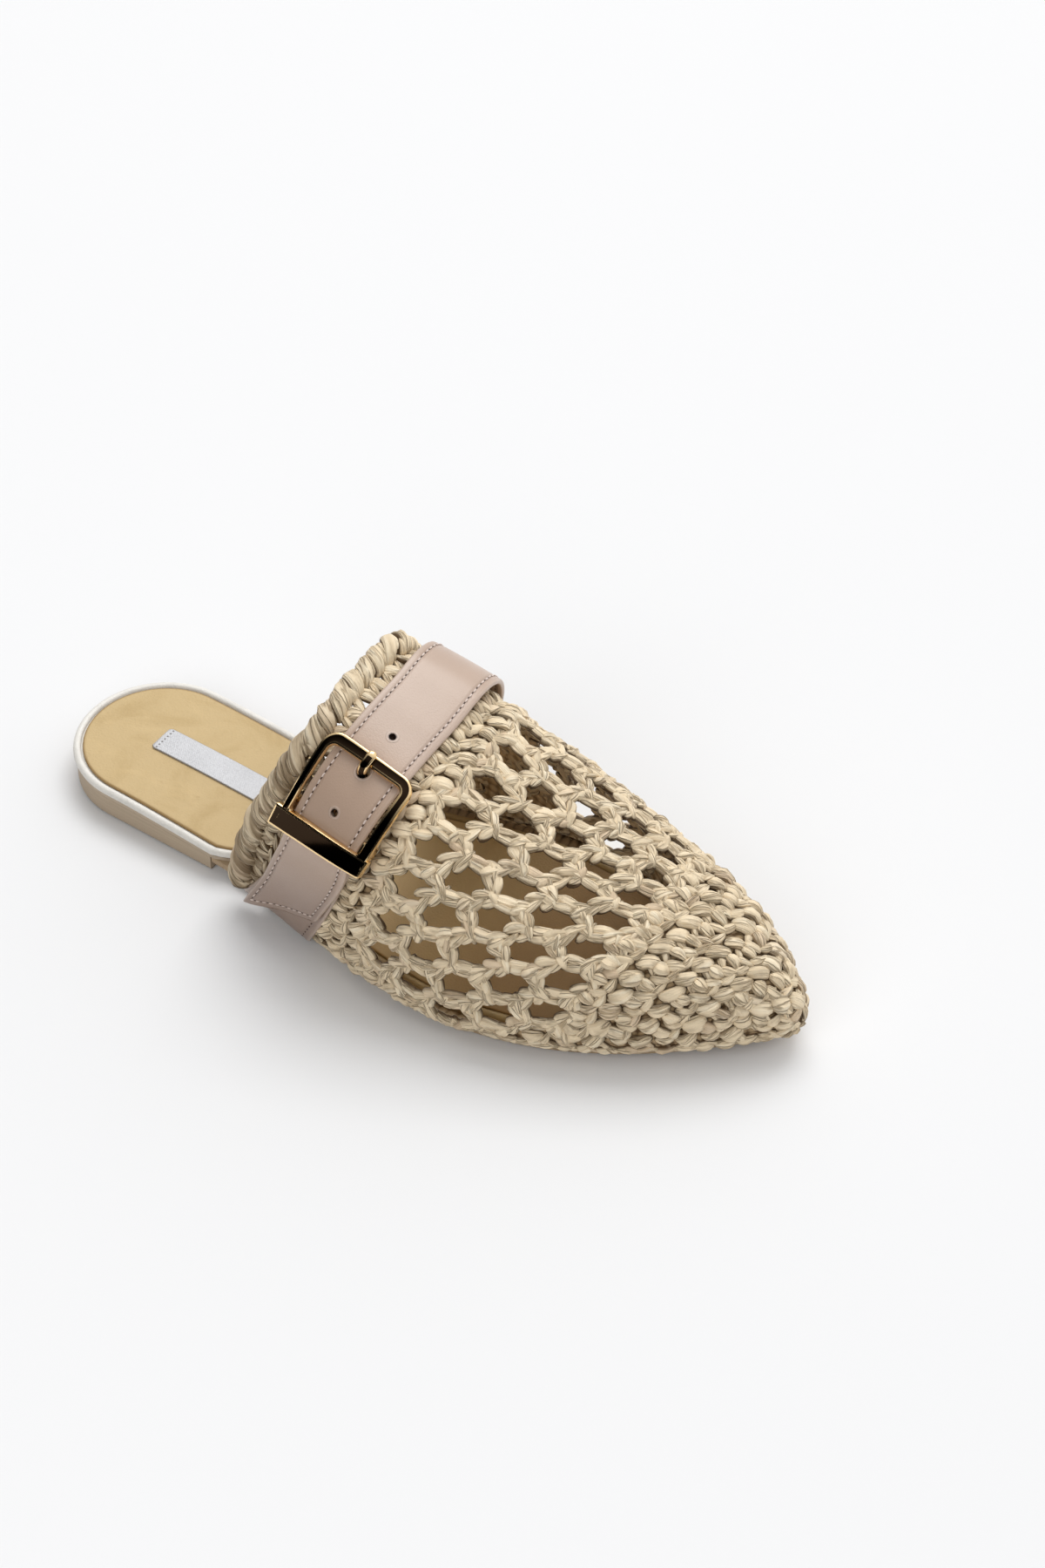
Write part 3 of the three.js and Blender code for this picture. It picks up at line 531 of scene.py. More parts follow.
class Finish:
    """A material built from nodes around one principled shader."""

    def __init__(self, name, tree=None):
        if tree is None:
            self.material = bpy.data.materials.new(name)
            self.material.use_nodes = True
            tree = self.material.node_tree
        self.tree = tree
        self.tree.nodes.clear()

    def node(self, kind, settings=None, sockets=None, output=0):
        """Adds a node: its settings first, then the values or links of its sockets."""
        node = self.tree.nodes.new(kind)
        for name, setting in (settings or {}).items():
            setattr(node, name, setting)
        for name, value in (sockets or {}).items():
            socket = node.inputs[name]
            if isinstance(value, Value):
                self.tree.links.new(value.socket, socket)
            else:
                socket.default_value = (*value, 1) if socket.type == "RGBA" else value
        return Value(self, node.outputs[output]) if len(node.outputs) else None

    def blend(self, a, b, factor):
        return self.node("ShaderNodeMix", {"data_type": "RGBA"}, {0: factor, 6: a, 7: b}, output=2)

    def place(self):
        """The point in metres, in the shoe's own frame."""
        return self.node("ShaderNodeTexCoord", output=3)

    def parts(self, vector):
        node = self.node("ShaderNodeSeparateXYZ", None, {0: vector}).socket.node
        return [Value(self, output) for output in node.outputs]

    def vector(self, x, y, z):
        return self.node("ShaderNodeCombineXYZ", None, {0: x, 1: y, 2: z})

    def vector_maths(self, operation, *values, output=0):
        return self.node("ShaderNodeVectorMath", {"operation": operation}, dict(enumerate(values)), output)

    def chart(self, name):
        """Both coordinates of a named map, in millimetres."""
        return self.parts(self.node("ShaderNodeUVMap", {"uv_map": name}))[:2]

    def value(self, name):
        return self.node("ShaderNodeAttribute", {"attribute_name": name}, None, output=2)

    def noise(self, vector, scale, detail=3.0, roughness=0.5, distortion=0.0):
        return self.node("ShaderNodeTexNoise", None, {
            "Vector": vector, "Scale": scale, "Detail": detail,
            "Roughness": roughness, "Distortion": distortion})

    def cells(self, vector, scale):
        return self.node("ShaderNodeTexVoronoi", None, {"Vector": vector, "Scale": scale})

    def off_axis(self, place, middle, top):
        """Distance from the straight line through two points."""
        line = (Vector(top) - Vector(middle)).normalized()
        away = self.vector_maths("SUBTRACT", place, tuple(middle))
        return self.vector_maths("LENGTH", self.vector_maths("CROSS_PRODUCT", away, tuple(line)), output=1)

    def bump(self, height, distance, strength=1.0):
        return self.node("ShaderNodeBump", None, {
            "Height": height, "Distance": distance, "Strength": strength})

    def surface(self, **sockets):
        shader = self.node("ShaderNodeBsdfPrincipled", None, {
            name.replace("_", " "): value for name, value in sockets.items()})
        self.node("ShaderNodeOutputMaterial", None, {"Surface": shader})
        return self.material


def times(colour, by):
    """A colour made darker or lighter by a factor."""
    return tuple(by * part for part in colour)


def raffia_finish(settings, name="paper yarn", gap=0.42, side_shade=0.0):
    """Folded paper yarn: long creases and fine fibres, with painted shade in the creases and in the gaps
    between stitches, and paler raised pleats that are partly painted highlight. gap is where the painted
    shade in the gaps begins, and the last argument is how strongly painted shade darkens the yarn down the
    outer side, as on the rim."""
    f = Finish(name)
    along, around = f.chart("Fibre")
    tone = f.value("tone")
    gap_shade = f.value("gap_shade")
    crease_shade = f.value("crease_shade")
    pleats = f.noise(f.vector(along * 0.09, around * 0.72, tone * 91), 1.0, 2, 0.5, 0.4)
    fibres = f.noise(f.vector(along * 0.22, around * 3.4, tone * 57), 1.0, 3, 0.65, 0.2)
    lines = f.noise(f.vector(along * 0.11, around * 0.62, tone * 33 + 7), 1.0, 2, 0.5, 0.2)
    crease = (lines - 0.5).band(0.0, 0.06) * (tone * 3.7).fraction().ramp(0.0, 0.4)
    colour = f.blend(settings.yarn_colour, settings.yarn_shade,
                     (fibres.ramp(0.40, 0.70) * 0.6).at_least((tone * 5.1).fraction() * 0.5))
    # Paler raised pleats, partly the yarn's pale fibres and partly painted highlight
    colour = f.blend(colour, settings.yarn_light, pleats.ramp(0.50, 0.72) * 0.6)
    colour = f.blend(colour, YARN_BLUSH, (tone * 7.3).fraction().ramp(0.84, 1.0) * 0.5)
    # Painted shade in the creases
    colour = f.blend(colour, YARN_CREASE_SHADE, (crease * 0.65).at_least(crease_shade * 0.45))
    # Painted shade down the outer side, strongest in the pleats' valleys
    if side_shade:
        y = f.parts(f.place())[1]
        valleys = 1 - pleats.ramp(0.42, 0.60) * 0.72
        colour = f.blend(colour, YARN_SIDE_SHADE, (1 - y.ramp(-0.026, -0.010)) * valleys * side_shade)
    # Painted shade in the gaps between stitches
    colour = f.blend(colour, YARN_GAP_SHADE, gap_shade.ramp(gap, gap + 0.49) * 0.94)
    # Painted shade on the yarn under the strap's small holes
    for hole_way, _ in HOLES[1:]:
        beneath = tuple(in_metres(on_strap(hole_way, 0.0, 0.4)))
        away = f.vector_maths("DISTANCE", f.place(), beneath, output=1)
        colour = f.blend(colour, UNDER_HOLE_SHADE, 1 - away.ramp(0.0016, 0.0034))
    height = pleats * 0.75 + fibres * 0.22 - crease * 0.35
    return f.surface(Base_Color=colour, Roughness=0.48 + fibres * 0.26, Specular_IOR_Level=0.35,
                     Normal=f.bump(height, 0.0016))


def backing_finish(name, low, high):
    """Closed back of the stitches, in courses of small loops, from a low to a high colour, both given as
    painted shade, darkest in the low places.
    """
    f = Finish(name)
    around, along = f.chart("Rows")
    course = (along * (math.pi / 3.4)).sine()
    loops = (around * (math.pi / 3.15) + f.noise(f.place(), 90, 2) * 2.5).sine()
    fibres = f.noise(f.vector(around * 0.9, along * 3.0, 0.0), 1.0, 4, 0.6, 0.3)
    height = abs(course) * 0.7 + abs(loops) * 0.6 + fibres * 0.3
    return f.surface(Base_Color=f.blend(low, high, height.ramp(0.45, 1.35)), Roughness=0.8,
                     Normal=f.bump(height, 0.0012, 0.8))


def strap_finish(settings):
    """Blush leather with pricked seams and punched holes, paler edges that are partly painted highlight, and
    painted shade in the holes, in the pricks and on the free end.
    """
    f = Finish("blush leather")
    way, across = f.chart("Strap")
    edge = f.value("edge")
    tip = f.value("tip")
    line_at = settings.seam_inset * 1000
    pitch = settings.seam_pitch * 1000
    side_line = (edge - line_at).band(0.12, 0.28)
    tip_line = (tip - line_at).band(0.12, 0.28) * (edge - line_at + 0.4).ramp(0.0, 0.3)
    inside = (tip - line_at + 0.4).ramp(0.0, 0.3)
    side_hole = side_line * ((way / pitch).fraction() - 0.5).band(0.16, 0.27) * inside
    tip_hole = tip_line * ((across / pitch).fraction() - 0.5).band(0.16, 0.27)
    pricks = side_hole.at_least(tip_hole)
    groove = (edge - line_at).band(0.1, 1.1) * inside
    place = f.place()
    grain = f.cells(place, 1500).at_most(1.0)
    pores = f.noise(place, 2600, 2, 0.6)
    cloud = f.noise(place, 26, 3, 0.55, 0.6)
    scuffs = f.noise(f.vector(way * 0.18, across * 1.6, 4.0), 1.0, 3, 0.6)
    pale_edge_and_highlight = 1 - edge.ramp(0.1, 1.3)
    punched = rim = None
    for hole_way, radius in HOLES:
        middle = float(strap_underside(hole_way, 0.0))
        low, high = (in_metres(on_strap(hole_way, 0.0, middle + h)) for h in (0, 3))
        away = f.off_axis(place, low, high) * 1000
        wall = 1 - away.ramp(radius + 0.06, radius + 0.2)
        ring = (away - radius - 0.65).band(0.1, 0.5)
        punched = wall if punched is None else punched.at_least(wall)
        rim = ring if rim is None else rim.at_least(ring)
    colour = f.blend(settings.leather_colour, settings.leather_shade, cloud.ramp(0.35, 0.75) * 0.55)
    # Painted shade on the free end
    colour = f.blend(colour, STRAP_END_SHADE, (1 - way.ramp(14.0, 46.0)) * 0.85)
    # Paler edges, partly the edge's own colour and partly painted highlight
    colour = f.blend(colour, settings.leather_light, pale_edge_and_highlight * 0.55)
    colour = f.blend(colour, settings.leather_light, rim * 0.5)
    # Painted shade in the punched holes
    colour = f.blend(colour, STRAP_HOLE_SHADE, punched)
    # Painted shade in the seam's pricks
    colour = f.blend(colour, STRAP_PRICK_SHADE, pricks * 0.9)
    height = grain * 0.10 + pores * 0.10 - groove * 0.55 - pricks * 0.6 + scuffs * 0.06 + rim * 0.35
    return f.surface(
        Base_Color=colour, Roughness=(0.34 + cloud * 0.16 + pores * 0.08 + pricks * 0.3).at_most(0.9),
        Normal=f.bump(height, 0.0007, 0.8), Coat_Weight=(0.6 - pricks * 0.6).at_least(0.0),
        Coat_Roughness=0.3, Coat_IOR=1.6, Specular_IOR_Level=0.55)


def thread_finish(settings):
    f = Finish("strap thread")
    along, around = f.chart("Fibre")
    ply = (along * 5.2 + around * 3.1).sine()
    colour = f.blend(settings.thread_colour, times(settings.thread_colour, 0.62), ply.ramp(0.2, 1.0) * 0.6)
    return f.surface(Base_Color=colour, Roughness=0.6, Normal=f.bump(ply, 0.0001, 0.6))


def gilt_finish(settings):
    """Polished metal, gilt at its edges, with a painted dark reflection on the faces of the bars."""
    f = Finish("gilt metal")
    place = f.place()
    wear = f.noise(place, 70, 3, 0.6)
    stretched = f.node("ShaderNodeMapping", None, {"Vector": place, "Scale": (500, 5200, 500)})
    hairlines = f.noise(stretched, 1.0, 2)
    is_face = f.value("face").ramp(0.4, 0.6)
    colour = f.blend(settings.gilt_colour, settings.gilt_deep, wear.ramp(0.45, 0.8) * 0.5)
    # Painted dark reflection on the bars' faces
    colour = f.blend(colour, settings.face_reflection_colour, is_face)
    return f.surface(Base_Color=colour, Metallic=1.0, Roughness=0.06 + wear * 0.05 + (1 - is_face) * 0.1,
                     Normal=f.bump(hairlines, 0.00001, 0.2))


def stacked_board(f, settings):
    """The heel's colour in faint level layers, and the layers."""
    x, y, z = f.parts(f.place())
    layers = f.noise(f.vector(x * 18, y * 18, z * 900), 1.0, 3, 0.55)
    heel = settings.heel_colour
    return f.blend(heel, times(heel, 0.78), layers.ramp(0.45, 0.75) * 0.6), layers


def bead_finish(settings):
    """Edge of the footbed: an off-white leather roll over bare board round the heel, with a line of painted
    shade under it, and tan inside the upper."""
    f = Finish("footbed edge")
    place = f.place()
    grain = f.cells(place, 1600)
    fine = f.noise(place, 3500, 3, 0.6)
    cloud = f.noise(place, 110, 4, 0.6, 0.8)
    over = f.value("over")
    colour = f.blend(settings.bead_colour, times(settings.bead_colour, 0.86),
                     cloud.ramp(0.40, 0.72) * 0.7 + fine.ramp(0.55, 0.85) * 0.2)
    colour = f.blend(stacked_board(f, settings)[0], colour, over.ramp(1.62, 1.78))
    # Painted shade in a line under the roll
    colour = f.blend(colour, BEAD_LINE_SHADE, over.ramp(0.9, 1.2) * (1 - over.ramp(1.72, 1.8)) * 0.75)
    colour = f.blend(colour, settings.insole_shade, f.parts(place)[0].ramp(0.052, 0.058))
    return f.surface(Base_Color=colour, Roughness=0.40 + cloud * 0.12, Coat_Weight=0.15,
                     Normal=f.bump(grain * 0.5 + fine * 0.5, 0.00025, 0.7))


def insole_finish(settings):
    """Mottled tan leather, darker at its edges, with painted light just inside the collar and painted shade
    towards the toe.
    """
    f = Finish("insole leather")
    place = f.place()
    x, y, _ = f.parts(place)
    tan = settings.insole_colour
    cloud = f.noise(place, 34, 5, 0.62, 1.2)
    stain = f.noise(f.vector(x * 0.6, y, 0.0), 60, 3, 0.6, 1.5)
    spots = f.noise(place, 420, 3, 0.7)
    grain = f.cells(place, 1300)
    colour = f.blend(tan, settings.insole_shade, cloud.ramp(0.44, 0.72) * 0.75)
    colour = f.blend(colour, times(tan, 1.12), stain.ramp(0.50, 0.72) * 0.5)
    colour = f.blend(colour, INSOLE_SPOT, spots.ramp(0.60, 0.80) * 0.30)
    colour = f.blend(colour, INSOLE_EDGE, (1 - f.value("edge").ramp(0.1, 1.0)) * 0.8)
    # Painted light just inside the collar, then painted shade further into the toe
    colour = f.blend(colour, times(tan, 1.35), x.ramp(0.055, 0.075))
    colour = f.blend(colour, settings.inside_shade_colour, x.ramp(0.080, 0.150) * 0.95)
    height = grain * 0.4 + spots * 0.5 + cloud * 1.2
    return f.surface(Base_Color=colour, Roughness=0.50 + cloud * 0.18, Specular_IOR_Level=0.4,
                     Normal=f.bump(height, 0.0003, 0.6))


def heel_finish(settings):
    f = Finish("heel rubber")
    place = f.place()
    speck = f.noise(place, 1400, 2, 0.6)
    tread = 1 - f.parts(place)[2].ramp(0.0002, 0.0009)
    colour, layers = stacked_board(f, settings)
    colour = f.blend(colour, times(settings.heel_colour, 0.6), tread * 0.7)
    return f.surface(Base_Color=colour, Roughness=0.55 + speck * 0.15,
                     Normal=f.bump(layers * 0.5 + speck * 0.5, 0.0002, 0.6))


def sole_finish(settings):
    f = Finish("sole rubber")
    place = f.place()
    x, y, _ = f.parts(place)
    ribs = ((x * 0.8 + y * 0.6) * (2 * math.pi / 0.0032)).sine()
    speck = f.noise(place, 1100, 3, 0.6)
    cloud = f.noise(place, 60, 3, 0.6)
    colour = f.blend(settings.sole_colour, times(settings.sole_colour, 0.72),
                     cloud.ramp(0.4, 0.75) * 0.6 + speck.ramp(0.55, 0.8) * 0.2)
    return f.surface(Base_Color=colour, Roughness=0.62 + speck * 0.15,
                     Normal=f.bump(ribs * 0.25 + speck * 0.4, 0.0003, 0.5))


def label_finish(settings):
    """Silver cloth, bare, with a pricked seam at its rear end."""
    f = Finish("silver label")
    place = f.place()
    x, y, _ = f.parts(place)
    weave = (x * 9000).sine() * (y * 9000).sine()
    flakes = f.cells(place, 2600)
    cloud = f.noise(place, 90, 3, 0.6)
    colour = f.blend(settings.label_colour, times(settings.label_colour, 0.74),
                     flakes.ramp(0.2, 0.9) * 0.4 + cloud.ramp(0.4, 0.8) * 0.35)
    colour = f.blend(colour, LABEL_EDGE, (1 - f.value("edge").ramp(0.0, 0.35)) * 0.7)
    rear = (LABEL_FROM_HEEL - ORIGIN_AT + 1.7) * 0.001
    seam = (x - rear).band(0.00015, 0.0004)
    pricks = seam * ((y / 0.0015).fraction() - 0.5).band(0.14, 0.26)
    colour = f.blend(colour, LABEL_PRICK, pricks * 0.9)
    return f.surface(Base_Color=colour, Metallic=0.35, Roughness=0.42 + flakes * 0.15,
                     Normal=f.bump(weave * 0.5 + flakes * 0.4, 0.00012, 0.5))


def floor_finish(settings):
    f = Finish("studio floor")
    return f.surface(Base_Color=settings.floor_colour, Roughness=0.85 + f.noise(f.place(), 300, 2) * 0.05,
                     Specular_IOR_Level=0.2)


# Meshes. A body is its points, its quads and its triangles.
NO_TRIS = np.zeros((0, 3), int)


def tube_quads(rings, sides, looped=False):
    """Quads between rings of equally many points, numbered ring by ring."""
    i = np.arange(rings if looped else rings - 1)[:, None]
    j = np.arange(sides)[None, :]
    after, beside = (i + 1) % rings, (j + 1) % sides
    quads = np.stack([i * sides + j, i * sides + beside, after * sides + beside, after * sides + j], -1)
    return quads.reshape(-1, 4)


def is_inside_out(points, quads, tris):
    """Whether a closed body's faces look inwards, by the sign of its volume."""
    split = np.concatenate([quads[:, :3], quads[:, [0, 2, 3]], tris])
    a, b, c = (points[split[:, k]] for k in range(3))
    return np.einsum("ij,ij->i", a, np.cross(b, c)).sum() < 0


def end_fans(middles, rings, sides):
    """Triangles from the middles of both ends of a tube, numbered from middles, to its end rings."""
    j = np.arange(sides)
    beside = (j + 1) % sides
    top = (rings - 1) * sides
    return np.concatenate([np.stack([np.full(sides, middles), beside, j], 1),
                           np.stack([np.full(sides, middles + 1), top + j, top + beside], 1)])


def closed_loft(rings, looped=False):
    """Body through rings, its two ends closed by fans."""
    count, sides = rings.shape[:2]
    points = rings.reshape(-1, 3)
    quads = tube_quads(count, sides, looped)
    if looped:
        return points, quads, NO_TRIS
    middles = np.stack([rings[0].mean(0), rings[-1].mean(0)])
    return np.concatenate([points, middles]), quads, end_fans(len(points), count, sides)


def mirrored_loft(rings):
    """Body through rings of one line's points and then the other line's, in reverse: the two
    ends are closed by strips between both lines."""
    count, sides = rings.shape[:2]
    j = np.arange(sides // 2 - 1)
    strip = np.stack([j, j + 1, sides - 2 - j, sides - 1 - j], 1)
    quads = np.concatenate([tube_quads(count, sides), strip, strip[:, ::-1] + (count - 1) * sides])
    return rings.reshape(-1, 3), quads, NO_TRIS


def add_to_scene(name, data):
    thing = bpy.data.objects.new(name, data)
    bpy.context.scene.collection.objects.link(thing)
    return thing


def add_piece(name, body, finish, node, charts=None, values=None, sharp=None):
    """Makes a mesh object that stands for a node, from a body in millimetres on the last.
    charts holds a map's places for each point or face corner, values a number for each point."""
    points, quads, tris = body
    places = in_metres(points)
    is_flipped = is_inside_out(places, quads, tris)
    loops = np.concatenate([quads.ravel(), tris.ravel()])
    sizes = np.repeat([4, 3], [len(quads), len(tris)])
    starts = np.cumsum(sizes) - sizes
    if is_flipped:
        order = np.concatenate([
            (np.arange(len(quads))[:, None] * 4 + [3, 2, 1, 0]).ravel(),
            (len(quads) * 4 + np.arange(len(tris))[:, None] * 3 + [2, 1, 0]).ravel()])
        loops = loops[order]
    mesh = bpy.data.meshes.new(name)
    mesh.vertices.add(len(places))
    mesh.vertices.foreach_set("co", places.astype(np.float32).ravel())
    mesh.loops.add(len(loops))
    mesh.loops.foreach_set("vertex_index", loops.astype(np.int32))
    mesh.polygons.add(len(sizes))
    mesh.polygons.foreach_set("loop_start", starts.astype(np.int32))
    mesh.update(calc_edges=True)
    for chart_name, corners in (charts or {}).items():
        if len(corners) == len(places):
            corners = corners[loops]
        elif is_flipped:
            corners = corners[order]
        layer = mesh.uv_layers.new(name=chart_name)
        layer.uv.foreach_set("vector", corners.astype(np.float32).ravel())
    for value_name, numbers in (values or {}).items():
        layer = mesh.attributes.new(value_name, "FLOAT", "POINT")
        layer.data.foreach_set("value", np.asarray(numbers, np.float32))
    mesh.validate()
    mesh.shade_smooth()
    if sharp:
        mesh.set_sharp_from_angle(angle=math.radians(sharp))
    mesh.materials.append(finish)
    piece = add_to_scene(name, mesh)
    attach(piece, "root")
    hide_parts(node)
    return piece


class Lobes:
    """A heap of short lengths of folded paper yarn, each a small closed body."""

    FIELDS = ("s", "u", "a", "b", "length", "width", "thick", "turn", "height",
              "bow", "arch", "tilt", "point", "rise")

    def __init__(self, seed):
        self.rows = []
        self.random = np.random.default_rng(seed)

    def add(self, s, u, a=0.0, b=0.0, length=6.0, width=3.0, thick=2.4, turn=0.0, height=-1.0,
            bow=0.0, arch=0.5, tilt=0.0, point=0.3, rise=0.0, loose=1.0):
        """Adds lobes at places s, u, moved by a and b. turn is in degrees, from along the foot
        towards around it. point runs from 0, blunt, to 1, a leaf with its tip at the far end,
        and rise is how much higher the far end lies. loose is how far each differs by chance."""
        fields = np.broadcast_arrays(s, u, a, b, length, width, thick, turn, height, bow, arch, tilt,
                                     point, rise)
        rows = np.array([np.ravel(field).astype(float) for field in fields]).T
        jitter = self.random.normal(0, 1, (len(rows), 9)).clip(-2, 2) * loose
        rows[:, 4:6] *= 1 + jitter[:, 2:4] * (0.07, 0.09)
        moved = [self.FIELDS.index(name) for name in ("a", "b", "turn", "height", "bow", "tilt", "rise")]
        rows[:, moved] += jitter[:, [0, 1, 4, 5, 6, 7, 8]] * (0.26, 0.26, 7.0, 0.16, 0.25, 0.16, 0.20)
        self.rows.append(rows)

    def add_stitch(self, s, u, stitch, flip=1, lean=0.0):
        """Adds a stitch at each place s, u. A flip of -1 mirrors it, and lean turns it."""
        for a, b, length, width, thick, turn, *rest in stitch:
            self.add(s, u, a, b * flip, length, width, thick, turn * flip + lean, *rest)

    def folded(self, rows, tones, rings, sides):
        """Every point's distance along, across and out of its lobe, and how far it lies in a crease, on the
        border and underneath: masks for painted shade in the creases and at the borders, which is lessened
        underneath."""
        field = dict(zip(self.FIELDS, rows.T[:, :, None, None]))
        t = (np.sin(np.linspace(-np.pi / 2, np.pi / 2, rings)) * 0.985)[None, :, None]
        turn = full_turn(sides, 0.5)[None, None, :]
        phase = tones[:, None, None] * 40
        blunt = np.sqrt(1 - np.abs(t) ** 4.5)
        leaf = 0.92 * np.sqrt(1 + t) * (1 - t)
        full = mix(blunt, leaf, field["point"])
        v = signed_power(np.cos(turn), 0.8)
        over = np.sin(turn)
        x = field["length"] / 2 * (t + 0.09 * np.sin(phase * 3) * (1 - t * t))
        y = field["width"] / 2 * full * v
        face = signed_power(over, 0.5)
        ridge = 0.22 - 0.46 * np.abs(v - 0.55 * np.sin(phase * 7))
        pleat = (v * (1.15 + 0.35 * np.sin(phase * 11)) + phase + 0.25 * t) % 1.0
        folds = np.where(over > 0, ridge + 0.42 * (pleat - 0.5), 0.0)
        z = field["thick"] / 2 * full ** 0.6 * (face + folds)
        twist = 0.30 * np.sin(phase * 5) * t + field["tilt"]
        y, z = y * np.cos(twist) - z * np.sin(twist), y * np.sin(twist) + z * np.cos(twist)
        y = y + field["bow"] * (1 - t * t)
        z = z + field["arch"] * (0.5 - t * t) + field["rise"] * t / 2
        crease = np.where(over > 0, 1 - smooth(0.0, 0.30, pleat) + smooth(0.9, 1.0, pleat), 0.0)
        border = np.maximum(1 - smooth(0.15, 0.6, over), smooth(0.86, 0.98, np.abs(t)))
        under = smooth(-0.2, -0.8, over)
        return (self.capped(np.broadcast_to(part, (len(rows), rings, sides)))
                for part in (x, y, z, crease, border, under))

    def mesh(self, surface, rings, sides):
        """Body, corner charts and values of all the lobes."""
        rows = np.concatenate(self.rows)
        count = len(rows)
        tones = self.random.random(count)
        along, across, up, crease, border, under = self.folded(rows, tones, rings, sides)
        field = dict(zip(self.FIELDS, rows.T[:, :, None]))
        way = np.radians(field["turn"])
        a = field["a"] + along * np.cos(way) - across * np.sin(way)
        b = field["b"] + along * np.sin(way) + across * np.cos(way)
        h = field["height"] + up
        points = surface.near(field["s"], field["u"], a, b, h)
        per_lobe = rings * sides + 2
        first = np.arange(count)[:, None, None] * per_lobe
        quads = (tube_quads(rings, sides)[None] + first).reshape(-1, 4)
        tris = (end_fans(rings * sides, rings, sides)[None] + first).reshape(-1, 3)
        # Painted shade at the lobes' borders and deep down among the stitches, lessened on their undersides
        gap_shade = np.maximum(border * 0.79, (0.0 - h) / 0.9).clip(0, 1) * (1 - 0.75 * under)
        values = {"tone": np.repeat(tones, per_lobe), "crease_shade": crease.ravel(), "gap_shade": gap_shade.ravel()}
        return ((points.reshape(-1, 3), quads, tris), {"Fibre": self.fibre_chart(rows, rings, sides)},
                values)

    @staticmethod
    def capped(part):
        """Adds the middles of both ends to each lobe's rings."""
        ends = [part[:, 0].mean(1, keepdims=True), part[:, -1].mean(1, keepdims=True)]
        return np.concatenate([part.reshape(len(part), -1), *ends], axis=1)

    @staticmethod
    def fibre_chart(rows, rings, sides):
        """Distances along and around each lobe for all face corners."""
        i = np.arange(rings - 1)[:, None] + np.array([0, 0, 1, 1])
        j = np.arange(sides)[:, None] + np.array([0, 1, 1, 0])
        i = np.broadcast_to(i[:, None, :], (rings - 1, sides, 4)).ravel() / (rings - 1)
        j = np.broadcast_to(j[None], (rings - 1, sides, 4)).ravel() / sides
        k = np.arange(sides)
        cap_i = np.repeat([0.0, 1.0], sides * 3)
        cap_j = np.concatenate([np.stack([k + 0.5, k + 1, k], 1).ravel(),
                                np.stack([k + 0.5, k, k + 1], 1).ravel()]) / sides
        girth = 1.5 * (rows[:, 5] + rows[:, 6])[:, None]
        length = rows[:, 4][:, None]
        quad = np.stack([length * i, girth * j], -1)
        cap = np.stack([length * cap_i, girth * cap_j], -1)
        return np.concatenate([quad.reshape(-1, 2), cap.reshape(-1, 2)])


def add_lobes(name, lobes, finish, node="upper", surface=LAST, rings=9, sides=12, sharp=38):
    body, charts, values = lobes.mesh(surface, rings, sides)
    return add_piece(name, body, finish, node, charts, values, sharp)


# Settings that a user would change
def length_field(name, description, default):
    return bpy.props.FloatProperty(name=name, description=description, default=default, unit="LENGTH")


def colour_field(name, description, default):
    return bpy.props.FloatVectorProperty(name=name, description=description, default=default, subtype="COLOR")


class RaffiaSettings(bpy.types.PropertyGroup):
    stitch_pitch: length_field("Stitch pitch", "Distance between stitches around the foot", 0.0063)
    row_pitch: length_field("Row pitch", "Distance between rows of dense stitches", 0.00675)
    wrap_pitch: length_field("Wrap pitch", "Distance between the wraps of the rolled rim", 0.0063)
    yarn_colour: colour_field("Yarn", "Main colour of the raffia", (0.95, 0.79, 0.555))
    yarn_shade: colour_field("Yarn shade", "Darker fibres of the raffia", (0.79, 0.635, 0.425))
    yarn_light: colour_field("Yarn light", "Pale fibres of the raffia", (0.98, 0.88, 0.68))


class StrapSettings(bpy.types.PropertyGroup):
    seam_inset: length_field("Seam inset", "Distance of the seam from the strap's edge", 0.0026)
    seam_pitch: length_field("Seam pitch", "Length of one stitch of the seam", 0.00215)
    leather_colour: colour_field("Leather", "Main colour of the strap", (0.475, 0.337, 0.25))
    leather_shade: colour_field("Leather shade", "Darker clouds in the strap", (0.415, 0.295, 0.22))
    leather_light: colour_field("Leather light", "Rubbed edge of the strap", (0.60, 0.475, 0.39))
    thread_colour: colour_field("Thread", "Colour of the seam's thread", (0.72, 0.60, 0.53))


class BuckleSettings(bpy.types.PropertyGroup):
    bevel: length_field("Bevel", "Width of the polished edge of the buckle's bars", 0.00075)
    gilt_colour: colour_field("Gilt", "Colour of the polished metal", (0.95, 0.70, 0.38))
    gilt_deep: colour_field("Gilt shade", "Deeper tint of the metal", (0.80, 0.52, 0.22))
    face_reflection_colour: colour_field("Faces", "Dark polished faces of the bars", (0.035, 0.021, 0.012))


class SoleSettings(bpy.types.PropertyGroup):
    insole_colour: colour_field("Insole", "Main colour of the insole", (0.575, 0.42, 0.207))
    insole_shade: colour_field("Insole shade", "Darker clouds in the insole", (0.48, 0.335, 0.146))
    inside_shade_colour: colour_field("Inside", "Insole inside the toe", (0.33, 0.19, 0.068))
    bead_colour: colour_field("Edge", "Colour of the footbed's leather edge", (0.80, 0.77, 0.71))
    heel_colour: colour_field("Heel", "Colour of the heel block", (0.50, 0.395, 0.28))
    sole_colour: colour_field("Sole", "Colour of the thin sole", (0.47, 0.34, 0.21))
    label_colour: colour_field("Label", "Colour of the bare label", (0.56, 0.56, 0.572))


class StageSettings(bpy.types.PropertyGroup):
    floor_colour: colour_field("Floor", "Colour of the studio floor", (0.835, 0.835, 0.837))
    key_power: bpy.props.FloatProperty(
        name="Key light", description="Power of the large soft light above the shoe, in watts", default=17.0)
    sky: bpy.props.FloatProperty(
        name="Studio brightness", description="Brightness of the studio's walls", default=0.52)


